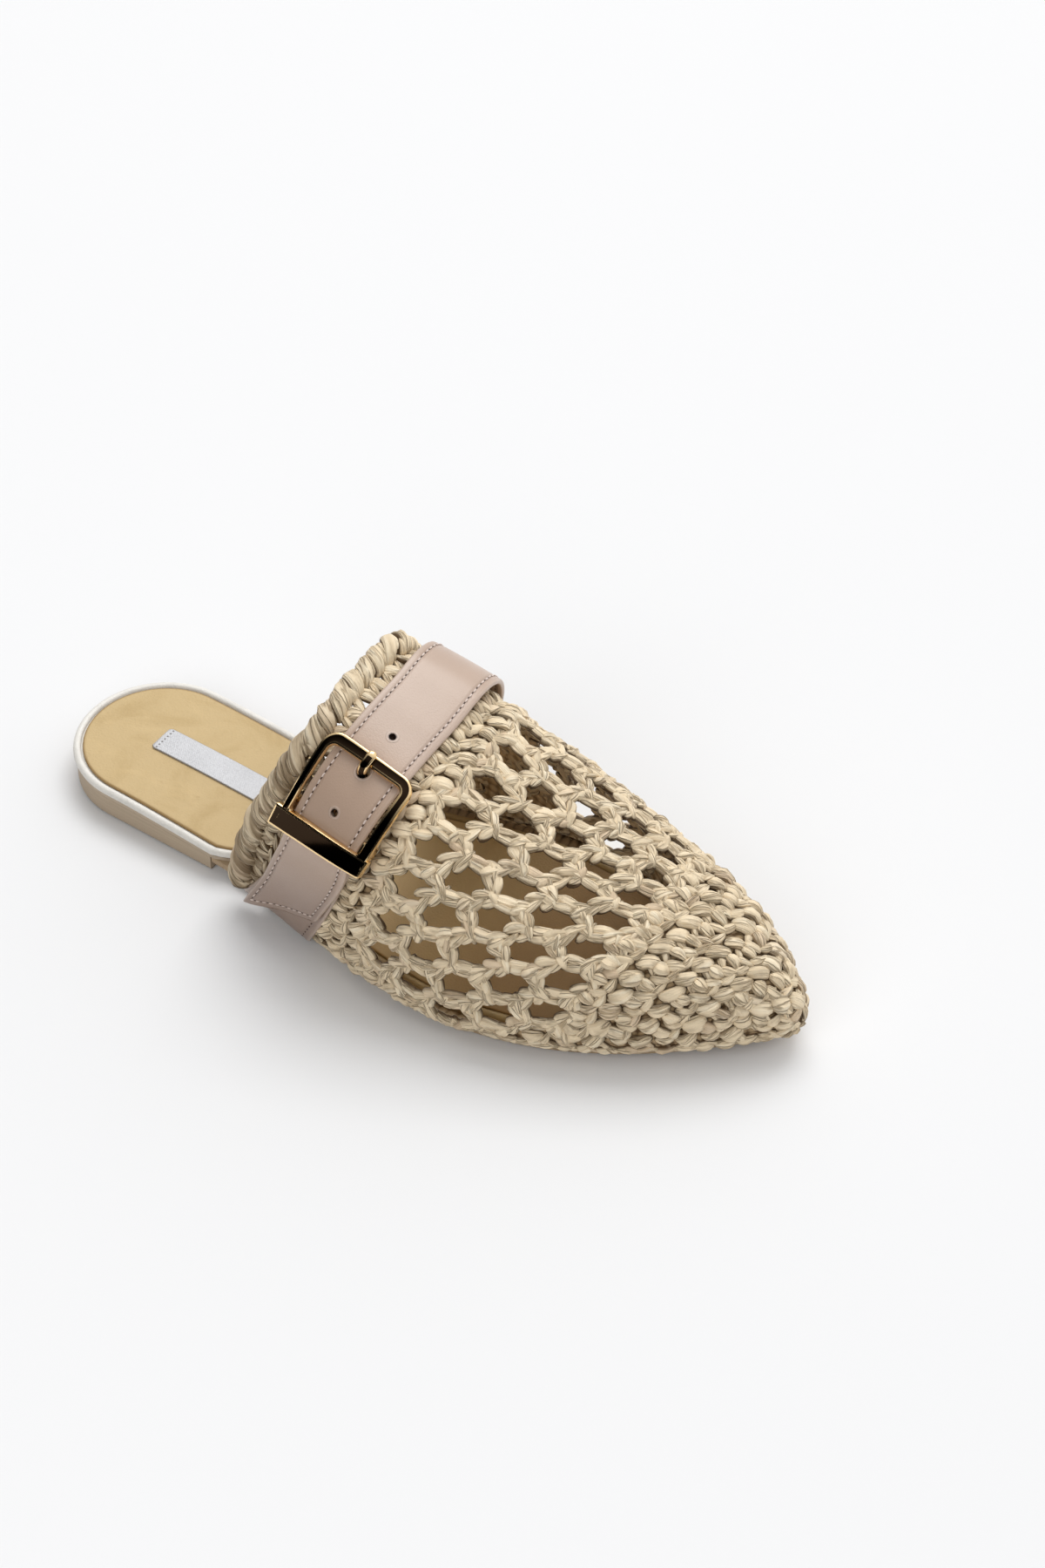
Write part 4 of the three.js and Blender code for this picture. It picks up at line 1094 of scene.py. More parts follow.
# Stitches
def net_row_at(ridge, u):
    return ridge * LENGTH - NET_DROP * sideways(u) ** 1.3


def net_posts(row):
    """Places u of the posts beside the holes of one row of the net."""
    _, first, step, inner_step, count = NET_ROWS[row]
    k = np.arange(count + 1) - 0.5
    return first + np.minimum(k, NET_OUTER) * step + np.maximum(k - NET_OUTER, 0) * inner_step


def even_places(s_of_u, pitch, shift):
    """Places u at an even pitch along a row around the foot."""
    u = np.linspace(0, 1, 601)
    way = ways_along(LAST.at(s_of_u(u), u, 0.0))
    count = max(int(way[-1] / pitch), 1)
    at = (np.arange(count) + 0.5 + shift) * way[-1] / count
    return np.interp(at[at < way[-1]], way, u)


def from_edge(s, u):
    """Distance to the nearer lower edge, around the foot."""
    return np.minimum(u, 1 - u) * LAST.width(s)


def add_dense_rows(lobes, stitch, row_step, net_row, ahead, count):
    """Dense rows from an end row of the net to the tip, where ahead is 1, or back under the
    strap, where it is -1, spaced evenly on the surface."""
    def arc_of(u, k):
        start = LAST.arc_at(net_row_at(NET_ROWS[net_row][0], u), u)
        return np.maximum(start + ahead * ROW_ROOM + ahead * k * row_step, 0)

    for k in range(count):
        u = even_places(lambda v: LAST.from_arc(arc_of(v, k), v), stitch, 0.25 * (-1) ** k)
        arc = arc_of(u, k)
        s = LAST.from_arc(arc, u)
        tip = LAST.arc_at(np.full_like(u, LENGTH), u)
        keep = (arc < tip - 1.0) & (s > wall_edge(u) + RIM_ROOM) & (from_edge(s, u) > EDGE_ROOM)
        lobes.add_stitch(s[keep], u[keep], FAN if (-1) ** k == ahead else BAR)


def add_side_stitches(lobes, stitch):
    """Dense stitches between the lower edges and the ends of the net's rows."""
    places = []
    for row in range(len(NET_ROWS)):
        posts = net_posts(row)
        places.append((NET_ROWS[row][0] * LENGTH, posts[0], posts[-1], row % 2 == 0))
        if row:
            before = net_posts(row - 1)
            ridge = (NET_ROWS[row][0] + NET_ROWS[row - 1][0]) / 2 * LENGTH
            places.append((ridge, (posts[0] + before[0]) / 2, (posts[-1] + before[-1]) / 2, row % 2 == 1))
    for ridge, low, high, is_fan in places:
        for is_inner, end in ((False, low), (True, 1 - high)):
            width = float(LAST.width(ridge - NET_DROP))
            room = end * width - 2.0
            count = int(max(0, (room - 3.0) // (stitch * 0.93)))
            if count == 0:
                continue
            u = (3.2 + (np.arange(count) + 0.5) * (room - 3.2) / count) / width
            u = 1 - u if is_inner else u
            lobes.add_stitch(net_row_at(ridge / LENGTH, u), u, FAN if is_fan else BAR)


def add_edge_stitches(lobes, stitch):
    """One line of stitches along each lower edge, from the collar to the tip."""
    for inward, side in ((1, LOWER_EDGE), (-1, 1 - LOWER_EDGE)):
        arc_from = float(LAST.arc_at(wall_edge(side) + 3.0, side))
        arc_to = float(LAST.arc_at(LENGTH, side))
        count = int((arc_to - arc_from) / (stitch * 0.98))
        arc = mix(arc_from, arc_to, (np.arange(count) + 0.3) / count)
        s = LAST.from_arc(arc, np.full(count, side))
        u = EDGE_LINE / np.maximum(LAST.width(s), 20)
        lobes.add_stitch(s, u if inward > 0 else 1 - u, EDGE, flip=inward)


def add_cord(lobes, s, u, along, around):
    """A plaited cord of nested leaves from places s, u over a distance along and around."""
    s, u, along, around = np.broadcast_arrays(s, u, along, around)
    length = np.hypot(along, around)
    turn = np.degrees(np.arctan2(around, along))
    aside = np.array([-around / length, along / length])
    for share, side in ((0.12, 1), (0.36, -1), (0.62, 1), (0.86, -1)):
        lobes.add(s, u, a=along * share + aside[0] * side * 0.85, b=around * share + aside[1] * side * 0.85,
                  length=0.55 * length + 2.6, width=3.4, thick=2.8, turn=turn - side * 18,
                  height=np.where(side > 0, -0.6, -0.95), bow=0.35 * side, arch=0.5, point=0.55, rise=0.5)


def add_net(lobes):
    """Posts between the holes of each row, and cords from their ends to the next rows."""
    for row, (ridge, _, step, _, _) in enumerate(NET_ROWS):
        u = net_posts(row)
        s = net_row_at(ridge, u)
        lean = lobes.random.normal(0, 5, len(u))
        lobes.add_stitch(s, u, POST, lean=lean)
        lobes.add_stitch(s, u, POST_ENDS)
        width = LAST.width(s)
        if row:
            ahead = net_posts(row - 1)
            for k in range(len(u)):
                for v in ahead[np.abs(ahead - u[k]) < 0.062]:
                    gap = net_row_at(NET_ROWS[row - 1][0], v) - s[k] - 6.8
                    add_cord(lobes, s[k] + 3.4, u[k], gap, (v - u[k]) * width[k])
        for is_end, ahead in ((row == 0, 1), (row == len(NET_ROWS) - 1, -1)):
            if is_end:
                for side in (-0.5, 0.5):
                    add_cord(lobes, s + 3.0 * ahead, u, 5.8 * ahead, side * step * width)


def is_dense(s, u):
    """Whether the upper is closed behind its stitches at s, u."""
    ridge = s + NET_DROP * sideways(u) ** 1.3
    rows = np.array([row[0] * LENGTH for row in NET_ROWS])[::-1]
    low, high = (np.interp(ridge, rows, np.array([net_posts(k)[end] for k in range(len(rows))])[::-1])
                 for end in (0, -1))
    room = 1.6 / LAST.width(s)
    in_rows = (ridge > rows[0] - 9.0) & (ridge < rows[-1] + 9.0)
    in_net = in_rows & (u > low - room) & (u < high + room)
    return ~in_net & (s > wall_edge(u) + 3.6)


class ToeUnderside:
    """The rounded underside of the toe tip: side runs from its middle to the inner edge, and h
    down out of it."""

    @staticmethod
    def at(s, side):
        low, high = LAST.at(s, 0.0, 0.0), LAST.at(s, 1.0, 0.0)
        width = np.maximum(np.linalg.norm(high - low, axis=-1), 2.0)
        return mix(low, high, np.clip(0.5 + side / width, 0, 1)[..., None])

    def near(self, s, side, a, b, h):
        s, side = np.clip(s + a, LENGTH - 9, LENGTH - 0.4), side + b
        run = self.at(s + 0.2, side) - self.at(s - 0.2, side)
        out = -unit(np.stack([-run[..., 2], 0 * s, run[..., 0]], -1))
        return self.at(s, side) + out * h[..., None]


class StrapFace:
    """The strap's outer face as a surface for lobes."""

    def near(self, way, across, a, b, h):
        way, across = way + a, across + b
        return on_strap(way, across, strap_underside(way, across) + STRAP_THICK + h)


# Stage
def aimed(direction):
    return Vector(direction).to_track_quat("-Z", "Y").to_euler()


def stage_camera():
    data = bpy.data.cameras.new("camera")
    data.lens = 90
    data.sensor_width = 36
    data.clip_start = 0.05
    data.clip_end = 60
    camera = add_to_scene("camera", data)
    camera.location = CAMERA_AT
    camera.rotation_euler = aimed(CAMERA_TOWARDS)
    bpy.context.scene.camera = camera


def stage_light(name, location, target, size, power, glossy=True):
    data = bpy.data.lights.new(name, "AREA")
    data.shape = "RECTANGLE"
    data.size, data.size_y = size
    data.energy = power
    light = add_to_scene(name, data)
    light.location = location
    light.rotation_euler = aimed(Vector(target) - Vector(location))
    light.visible_glossy = glossy


def stage_sky(brightness):
    """A studio that is bright above and behind the shoe, and dim on the camera's side."""
    world = bpy.data.worlds.new("studio")
    bpy.context.scene.world = world
    world.use_nodes = True
    f = Finish("studio", world.node_tree)
    to_sky = f.node("ShaderNodeTexCoord", output=0)
    lean = f.vector_maths("DOT_PRODUCT", to_sky, SKY_TOWARDS, output=1)
    colour = f.blend(SKY_DIM, SKY_BRIGHT, lean.ramp(0.02, 0.75))
    light = f.node("ShaderNodeBackground", None, {"Color": colour, "Strength": brightness})
    f.node("ShaderNodeOutputWorld", None, {"Surface": light})


class PieceOperator(bpy.types.Operator):
    """Makes one piece of the slipper, or a group of like pieces."""

    bl_idname = "mule.piece"
    bl_label = "Piece"
    bl_options = {"REGISTER", "UNDO"}


class MULE_OT_stage(PieceOperator):
    """Camera, soft lights and the pale floor."""

    bl_idname = "mule.stage"
    bl_label = "Stage"

    def execute(self, context):
        settings = context.scene.mule_stage
        stage_camera()
        stage_sky(settings.sky)
        stage_light("key", (-0.35, 1.3, 2.4), (0.1, 0, 0.02), (2.0, 1.6), settings.key_power * 2.2)
        stage_light("front fill", (0.5, -2.4, 1.9), (0.1, -0.3, 0.02), (3.2, 2.0), settings.key_power * 2.42,
                    glossy=False)
        side, below = 8.0, -0.0004
        mesh = bpy.data.meshes.new("floor")
        corners = [(x * side, y * side, below) for x, y in ((-1, -1), (1, -1), (1, 1), (-1, 1))]
        mesh.from_pydata(corners, [], [(0, 1, 2, 3)])
        mesh.materials.append(floor_finish(settings))
        add_to_scene("floor", mesh)
        context.scene.view_settings.view_transform = "Standard"
        return {"FINISHED"}


# Sole, footbed and insole
def crowded(count, round_start, round_end):
    """Shares from 0 to 1 that lie closer together towards a rounded end."""
    k = np.linspace(0, 1, count + 1)
    if round_start and round_end:
        return (1 - np.cos(np.pi * k)) / 2
    return 1 - np.cos(np.pi * k / 2) if round_start else np.sin(np.pi * k / 2)


def level(s):
    """The floor's height, and a line that is drawn in nowhere."""
    return 0 * s


def sole_top(s):
    return seat(s) - FIT


def sole_tread(s):
    return sole_top(s) - SOLE_THICK


def heel_end(inset):
    return inset - WELT + 0.02


def board_tip(inset):
    return LENGTH - BOARD_TUCK - inset - 0.02


def board_inset(s):
    return BOARD_TUCK * smooth(HEEL_BREAST, COLLAR_AT - COLLAR_DROP - 1, s)


def sole_rings(shares, start, end, profile, draw_in=level, short=0.0):
    """Rings of a flat piece of the sole, and how far each of a ring's points is drawn in. profile
    holds, from below to above, how far a line is drawn in, what it lies over, and how high."""
    lateral, medial = [], []
    for inset, under, height in profile:
        s = mix(start(inset), end(inset), shares)
        for line, side in zip((lateral, medial), outline(s, inset + draw_in(s), short)):
            line.append(np.stack([s, side, under(s) + height], 1))
    insets = [row[0] for row in profile]
    return np.stack(lateral + medial[::-1], 1), np.array(insets + insets[::-1])


class MULE_OT_soles(PieceOperator):
    """Heel block and thin sole, each with an eased edge."""

    bl_idname = "mule.soles"
    bl_label = "Heel and sole"

    def execute(self, context):
        settings = context.scene.mule_soles
        i = HEEL_BLOCK_INSET
        profile = ((i + 1.0, level, 0), (i + 0.35, level, 0.12), (i + 0.05, level, 0.5),
                   (i, level, 1.0), (i, sole_top, -0.6), (i, sole_top, -0.12), (i + 0.1, sole_top, 0))
        rings, _ = sole_rings(crowded(70, True, False), heel_end, lambda inset: HEEL_BREAST, profile)
        add_piece("heel", mirrored_loft(rings), heel_finish(settings), "heel_block", sharp=50)
        i = OUTSOLE_INSET
        profile = ((i + 0.9, sole_tread, 0), (i + 0.3, sole_tread, 0.12), (i, sole_tread, 0.5),
                   (i, sole_top, -0.4), (i + 0.15, sole_top, -0.12), (i + 0.5, sole_top, 0))
        rings, _ = sole_rings(crowded(110, False, True), lambda inset: HEEL_BREAST + FIT,
                              lambda inset: LENGTH - inset - SOLE_SHORT - 0.02, profile, short=SOLE_SHORT)
        add_piece("sole", mirrored_loft(rings), sole_finish(settings), "outsole", sharp=50)
        return {"FINISHED"}


class MULE_OT_footbed(PieceOperator):
    """Footbed with its rounded leather edge."""

    bl_idname = "mule.footbed"
    bl_label = "Footbed"

    def execute(self, context):
        bead = ((0.36, -0.27), (0.345, -0.1), (0.34, 1.5), (0.37, 1.72), (0.22, 1.78), (0.06, 2.0),
                (0.0, 2.4), (0.0, 2.8), (0.05, 3.25), (0.17, 3.65), (0.36, 3.95), (0.58, 4.0),
                (0.80, 3.85), (0.94, 3.4), (1.0, 2.6))
        profile = [(inwards * BEAD_WIDTH, seat, height) for inwards, height in bead]
        heights = [height for _, height in bead]
        rings, _ = sole_rings(crowded(120, True, True), heel_end, board_tip, profile, board_inset)
        add_piece("footbed_edge", mirrored_loft(rings), bead_finish(context.scene.mule_soles),
                  "footbed", values={"over": np.tile(heights + heights[::-1], len(rings))}, sharp=60)
        return {"FINISHED"}


class MULE_OT_insole(PieceOperator):
    """Insole with its bare label."""

    bl_idname = "mule.insole"
    bl_label = "Insole and label"

    def execute(self, context):
        settings = context.scene.mule_soles
        i = BEAD_WIDTH + 2 * FIT
        low = BOARD_THICK + FIT
        high = low + INSOLE_THICK
        profile = ((i, seat, low), (i - 0.05, seat, low + 0.4), (i + 0.1, seat, high - 0.12),
                   (i + 0.4, seat, high), (i + 1.6, seat, high + 0.02), (i + 5.0, seat, high + 0.02),
                   (i + 10.0, seat, high))
        rings, insets = sole_rings(crowded(110, True, True), heel_end, board_tip, profile, board_inset)
        add_piece("insole_leather", mirrored_loft(rings), insole_finish(settings), "insole",
                  values={"edge": np.tile(insets - i, len(rings))}, sharp=60)
        body = closed_loft(self.label_rings(high + 0.05))
        x, y = body[0][:, 0], body[0][:, 1]
        ends = np.minimum(x - LABEL_FROM_HEEL, LABEL_FROM_HEEL + LABEL_LENGTH - x)
        edge = np.minimum(LABEL_WIDTH / 2 - np.abs(y - LABEL_SIDE), ends)
        add_piece("label_patch", body, label_finish(settings), "insole_label",
                  values={"edge": edge}, sharp=60)
        return {"FINISHED"}

    @staticmethod
    def label_rings(height):
        """Rings across the label at a height over the seat, with rounded corners and eased edges."""
        corner_radius = 0.7
        s = np.linspace(LABEL_FROM_HEEL, LABEL_FROM_HEEL + LABEL_LENGTH, 60)
        corner = np.clip(np.minimum(s - s[0], s[-1] - s) / corner_radius, 0, 1)
        half = LABEL_WIDTH / 2 - corner_radius * (1 - np.sqrt(1 - (1 - corner) ** 2))
        edge = ((1.0, 0.0), (1.0, 0.45), (0.97, 0.62), (0.92, 0.65))
        across = [(-share, rise) for share, rise in edge] + [(0.0, 0.66)] + list(edge[::-1])
        return np.stack([np.stack([s, LABEL_SIDE + half * share, seat(s) + height + rise], 1)
                         for share, rise in across], 1)


# Upper
class MULE_OT_backing(PieceOperator):
    """Closed back of the dense stitches, at the toe, the sides and under the strap, coloured with painted
    shade on both sides.
    """

    bl_idname = "mule.backing"
    bl_label = "Back of the stitches"

    def execute(self, context):
        arcs = np.arange(0, LAST.arc.max() + 1, 1.6)
        arc, u = np.meshgrid(arcs, np.linspace(0, 1, 109), indexing="ij")
        s = LAST.from_arc(arc, u)
        rows, columns = np.meshgrid(*(np.arange(count - 1) for count in s.shape), indexing="ij")
        first = rows * s.shape[1] + columns
        quads = np.stack([first, first + s.shape[1], first + s.shape[1] + 1, first + 1], -1)
        keep = is_dense((s[:-1, :-1] + s[1:, 1:]) / 2, (u[:-1, :-1] + u[1:, 1:]) / 2)
        quads = quads[keep & (s[1:, 1:] - s[:-1, :-1] > 0.02)]
        used, quads = np.unique(quads, return_inverse=True)
        quads = quads.reshape(-1, 4)
        points = LAST.at(s, u, BACK_OFF).reshape(-1, 3)[used]
        chart = np.stack([u.ravel() * LAST.width(s.ravel()), arc.ravel()], 1)[used]
        for is_inner in (0, 1):
            margin, margin_chart = self.margin(is_inner)
            strip = tube_quads(len(margin), 3)
            strip = strip[strip[:, 1] % 3 > strip[:, 0] % 3]
            quads = np.concatenate([quads, strip + len(points)])
            points = np.concatenate([points, margin.reshape(-1, 3)])
            chart = np.concatenate([chart, margin_chart.reshape(-1, 2)])
        piece = add_piece("upper_backing", (points, quads, NO_TRIS),
                          backing_finish("raffia back", *BACK_SHADE_COLOURS), "upper",
                          charts={"Rows": chart})
        piece.data.materials.append(backing_finish("raffia inside", *INSIDE_SHADE_COLOURS))
        thicken = piece.modifiers.new("thickness", "SOLIDIFY")
        thicken.thickness = BACK_THICK * 0.001
        thicken.offset = 0
        thicken.material_offset = 1
        return {"FINISHED"}

    @staticmethod
    def margin(is_inner):
        """The upper's lower edge, turned in on the sole as far as the footbed."""
        s = np.linspace(float(wall_edge(float(is_inner))) + 4, LENGTH - 7, 90)
        lines = [LAST.at(s, 1 - LOWER_EDGE if is_inner else LOWER_EDGE, BACK_OFF)]
        for inset, height in ((2.1, 0.42), (5.4, 0.36)):
            lines.append(np.stack([s, outline(s, inset)[is_inner], seat(s) + height], 1))
        chart = np.stack([np.stack([s, np.full(len(s), 2.0 * k)], 1) for k in range(3)], 1)
        return np.stack(lines, 1), chart


def shared_raffia(context):
    return bpy.data.materials.get("paper yarn") or raffia_finish(context.scene.mule_raffia)


class MULE_OT_toe(PieceOperator):
    """Dense stitches of the toe."""

    bl_idname = "mule.toe"
    bl_label = "Toe stitches"

    def execute(self, context):
        settings = context.scene.mule_raffia
        lobes = Lobes(11)
        add_dense_rows(lobes, settings.stitch_pitch * 1000, settings.row_pitch * 1000, 0, 1, 14)
        add_lobes("toe_stitches", lobes, shared_raffia(context))
        lobes = Lobes(13)
        lobes.add(LENGTH - np.array([4.2, 3.6, 4.0, 1.8, 1.6]), np.array([-3.6, 0.0, 3.4, -1.9, 1.7]),
                  length=5.6, width=3.7, thick=2.5, turn=np.array([-20, 12, 24, -35, 38]), height=-0.5,
                  arch=0.7, point=0.4, loose=0.6)
        add_lobes("toe_underside", lobes, shared_raffia(context), surface=ToeUnderside())
        return {"FINISHED"}


class MULE_OT_band(PieceOperator):
    """Dense stitches behind the net and under the strap, and along both lower edges."""

    bl_idname = "mule.band"
    bl_label = "Band and edge stitches"

    def execute(self, context):
        settings = context.scene.mule_raffia
        stitch = settings.stitch_pitch * 1000
        lobes = Lobes(23)
        add_dense_rows(lobes, stitch, settings.row_pitch * 1000, -1, -1, 8)
        add_lobes("band_stitches", lobes, shared_raffia(context))
        lobes = Lobes(29)
        add_side_stitches(lobes, stitch)
        add_edge_stitches(lobes, stitch)
        add_lobes("edge_stitches", lobes, shared_raffia(context))
        return {"FINISHED"}


class MULE_OT_net(PieceOperator):
    """Open net of posts and plaited cords."""

    bl_idname = "mule.net"
    bl_label = "Net"

    def execute(self, context):
        lobes = Lobes(37)
        add_net(lobes)
        add_lobes("net_cords", lobes, shared_raffia(context), sides=10)
        return {"FINISHED"}


class MULE_OT_rim(PieceOperator):
    """Rolled rim with its wraps, and the row of small knots before it."""

    bl_idname = "mule.rim"
    bl_label = "Rim"

    def execute(self, context):
        settings = context.scene.mule_raffia
        finish = raffia_finish(settings, "rim yarn", gap=0.20, side_shade=0.80)
        wraps = self.wraps(settings.wrap_pitch * 1000)
        add_lobes("rim_wraps", wraps, finish, "collar_roll", ROLL, 22, 18)
        self.add_core()
        knots = Lobes(43)
        u = even_places(lambda v: wall_edge(v) + 2.0, 6.9, 0.0)
        u = u[(u > 0.02) & (u < 0.98)]
        knots.add_stitch(wall_edge(u), u, KNOT)
        add_lobes("rim_knots", knots, finish)
        return {"FINISHED"}

    @staticmethod
    def wraps(pitch):
        """Broad wraps over the roll, with narrow strands beside them and over its rear."""
        length = ROLL.way[-1]
        count = int(length / pitch)
        way = (np.arange(count) + 0.5) * length / count
        radius = np.interp(way, ROLL.way, ROLL.radius)
        lobes = Lobes(41)
        lobes.add(way, math.radians(105), length=5.4 * radius, width=6.7, thick=3.6,
                  turn=60, height=-1.1, arch=0.0, tilt=0.24, point=0.1, loose=0.8)
        lobes.add(way + 3.0, math.radians(125), length=4.0 * radius, width=3.2, thick=2.2,
                  turn=58, height=-1.25, arch=0.0, tilt=0.1, point=0.5, loose=0.9)
        lobes.add(way + 2.2, math.radians(30), length=2.3 * radius, width=4.0, thick=2.2,
                  turn=70, height=-0.75, arch=0.3, point=0.5, loose=0.8)
        return lobes

    @staticmethod
    def add_core():
        """The core that closes the gaps between the wraps, coloured with painted shade."""
        rings, sides = 90, 12
        ways = np.linspace(0, ROLL.way[-1], rings)
        turns = full_turn(sides)
        body = closed_loft(ROLL.at(ways[:, None], turns[None, :], CORE_OFF))
        chart = np.stack([np.repeat(ways, sides), np.tile(turns * 3, rings)], 1)
        add_piece("rim_core", body, backing_finish("rim core", *BACK_SHADE_COLOURS), "collar_roll",
                  charts={"Rows": np.concatenate([chart, [[0, 0], [0, 0]]])})


# Strap
def add_strip(name, node, finish, ways, thick, underside, half, lean, has_tip):
    """Strip of leather on the strap's path, underside flat, edges round and a shallow groove along
    each seam, with the distance from its edges and, where it has a tip, from its first end."""
    round_edge, seam_at, groove, groove_width = 0.8, 2.6, 0.16, 0.7
    way, half = ways[:, None], (half + 0 * ways)[:, None]
    a = np.linspace(-np.pi / 2, np.pi / 2, 7)
    inner = half - round_edge
    across = np.concatenate([np.linspace(-1, 1, 9)[1:-1] * inner, inner + round_edge * np.cos(a),
                             np.linspace(1, -1, 19)[1:-1] * inner, -inner - round_edge * np.cos(a[::-1])], 1)
    height = np.concatenate([np.zeros(7), thick / 2 * (1 + np.sin(a)), np.full(17, thick),
                             thick / 2 * (1 + np.sin(a[::-1]))])
    to_edge = half - np.abs(across)
    is_face = height > thick * 0.9
    height = height - groove * np.exp(-((to_edge - seam_at) / groove_width) ** 2) * is_face
    rings = on_strap(way + 0 * across, across, underside(way, across) + height, lean)
    chart = np.stack([way + 0 * across, across], -1).reshape(-1, 2)
    chart = np.concatenate([chart, [[ways[0], 0], [ways[-1], 0]]])
    edges = np.concatenate([to_edge.ravel(), [0.2, 0.2]])
    tips = chart[:, 0] - ways[0] if has_tip else np.full(len(chart), 99)
    return add_piece(name, closed_loft(rings), finish, node, charts={"Strap": chart},
                     values={"edge": edges, "tip": tips}, sharp=70)


def punch_holes(piece):
    """Cuts the round holes through the strap."""
    turn = full_turn(20)
    for way, radius in HOLES:
        middle = float(strap_underside(way, 0.0))
        rings = np.array([on_strap(way + radius * np.cos(turn), radius * np.sin(turn), off)
                          for off in (middle - 1.5, middle + 4.0)])
        points, quads, tris = closed_loft(rings)
        mesh = bpy.data.meshes.new("punch")
        mesh.from_pydata(in_metres(points).tolist(), [], quads.tolist() + tris.tolist())
        if is_inside_out(points, quads, tris):
            mesh.flip_normals()
        tool = add_to_scene("punch", mesh)
        cut = piece.modifiers.new("hole", "BOOLEAN")
        cut.object = tool
        cut.operation = "DIFFERENCE"
        cut.solver = "EXACT"
        bpy.context.view_layer.objects.active = piece
        bpy.ops.object.modifier_apply(modifier=cut.name)
        bpy.data.objects.remove(tool)


class MULE_OT_strap(PieceOperator):
    """Leather strap with its punched holes and seams, and the base under its free end."""

    bl_idname = "mule.strap"
    bl_label = "Strap"

    def execute(self, context):
        settings = context.scene.mule_strap
        finish = strap_finish(settings)
        near_end = FREE_END_WAY + np.array([0.0, 0.12, 0.35, 0.8])
        ways = np.concatenate([near_end, np.linspace(FREE_END_WAY + 1.6, INNER_END_WAY, 150)])
        punch_holes(add_strip("strap_leather", "strap", finish, ways, STRAP_THICK, strap_underside,
                              strap_half(ways), STRAP_LEAN, has_tip=True))
        add_strip("strap_base_leather", "strap_base", finish, np.linspace(1, HINGE_WAY - HINGE_RADIUS, 30),
                  BASE_THICK, lambda way, across: STRAP_OFF_UPPER, BASE_WIDTH / 2, 0, has_tip=False)
        self.add_seams(settings)
        return {"FINISHED"}

    @staticmethod
    def add_seams(settings):
        """Short lengths of thread between the pricks of the seams."""
        thread = {"length": 1.5, "width": 0.55, "thick": 0.45, "height": 0.02, "arch": 0.12, "point": 0,
                  "loose": 0.12}
        pitch, inset = settings.seam_pitch * 1000, settings.seam_inset * 1000
        lobes = Lobes(53)
        first = math.ceil((FREE_END_WAY + inset) / pitch)
        ways = np.arange(first, int((INNER_END_WAY - 1) / pitch)) * pitch
        for side in (-1, 1):
            lobes.add(ways, side * (strap_half(ways) - inset), turn=0, **thread)
        half = float(strap_half(FREE_END_WAY)) - inset
        across = np.arange(math.ceil(-half / pitch), int(half / pitch) + 1) * pitch
        lobes.add(FREE_END_WAY + inset, across, turn=90, **thread)
        add_lobes("strap_seams", lobes, thread_finish(settings), "strap", StrapFace(), 6, 6, None)


# Buckle
# Rings of each bar's face, where a dark reflection is painted
DARK_REFLECTION_FACE = slice(4, 6)


def frame_outline(up, down, half, flare, top_corner, low_corner):
    """Four-sided outline of the buckle as rows of way and across. flare is how much wider it is
    below than above, at the rear and at the front."""
    quarter = np.arange(9) / 8
    high, low = up - top_corner, low_corner - down
    corners = ((high, 1, top_corner), (high, -1, top_corner), (low, -1, low_corner), (low, 1, low_corner))
    turns = []
    for k, (y, side, radius) in enumerate(corners):
        a = (k + quarter) * np.pi / 2
        width = half + flare[side > 0] * np.clip((up - y) / (up + down), 0, 1)
        turns.append(np.stack([y + radius * np.sin(a), side * (width - radius) + radius * np.cos(a)], 1))
    rows = []
    for k, turn in enumerate(turns):
        share = np.linspace(0, 1, 14)[1:-1, None]
        rows += [turn, mix(turn[-1], turns[(k + 1) % 4][0], share)]
    return np.concatenate(rows)


def bevelled(foot, high, bevel):
    """Edge of a bar, up its wall and over its bevel, as rows of inwards and height. Two such edges make a
    ring, with the bar's face between them, which carries a painted dark reflection."""
    return np.array([(0.0, foot), (0.0, high - bevel), (0.3 * bevel, high - 0.3 * bevel), (bevel, high),
                     (1.15 * bevel, high - 0.02)])


def rod(route, wide, thick, sides):
    """Rings of a rod along a route, with half its width and half its thickness at each point."""
    run = unit(np.gradient(route, axis=0))
    side = unit(np.cross(run, (0.25, -0.55, 0.80)))
    up = np.cross(side, run)
    a = full_turn(sides)
    wide, thick = (np.broadcast_to(size, len(route))[:, None, None] for size in (wide, thick))
    return (route[:, None] + side[:, None] * wide * np.cos(a)[None, :, None]
            + up[:, None] * thick * np.sin(a)[None, :, None])


def joined(parts):
    """One body of several, each turned right side out."""
    points, quads, tris, start = [], [], [], 0
    for part in parts:
        part_points, part_quads, part_tris = part
        if is_inside_out(*part):
            part_quads, part_tris = part_quads[:, ::-1], part_tris[:, ::-1]
        points.append(part_points)
        quads.append(part_quads + start)
        tris.append(part_tris + start)
        start += len(part_points)
    return np.concatenate(points), np.concatenate(quads), np.concatenate(tris)


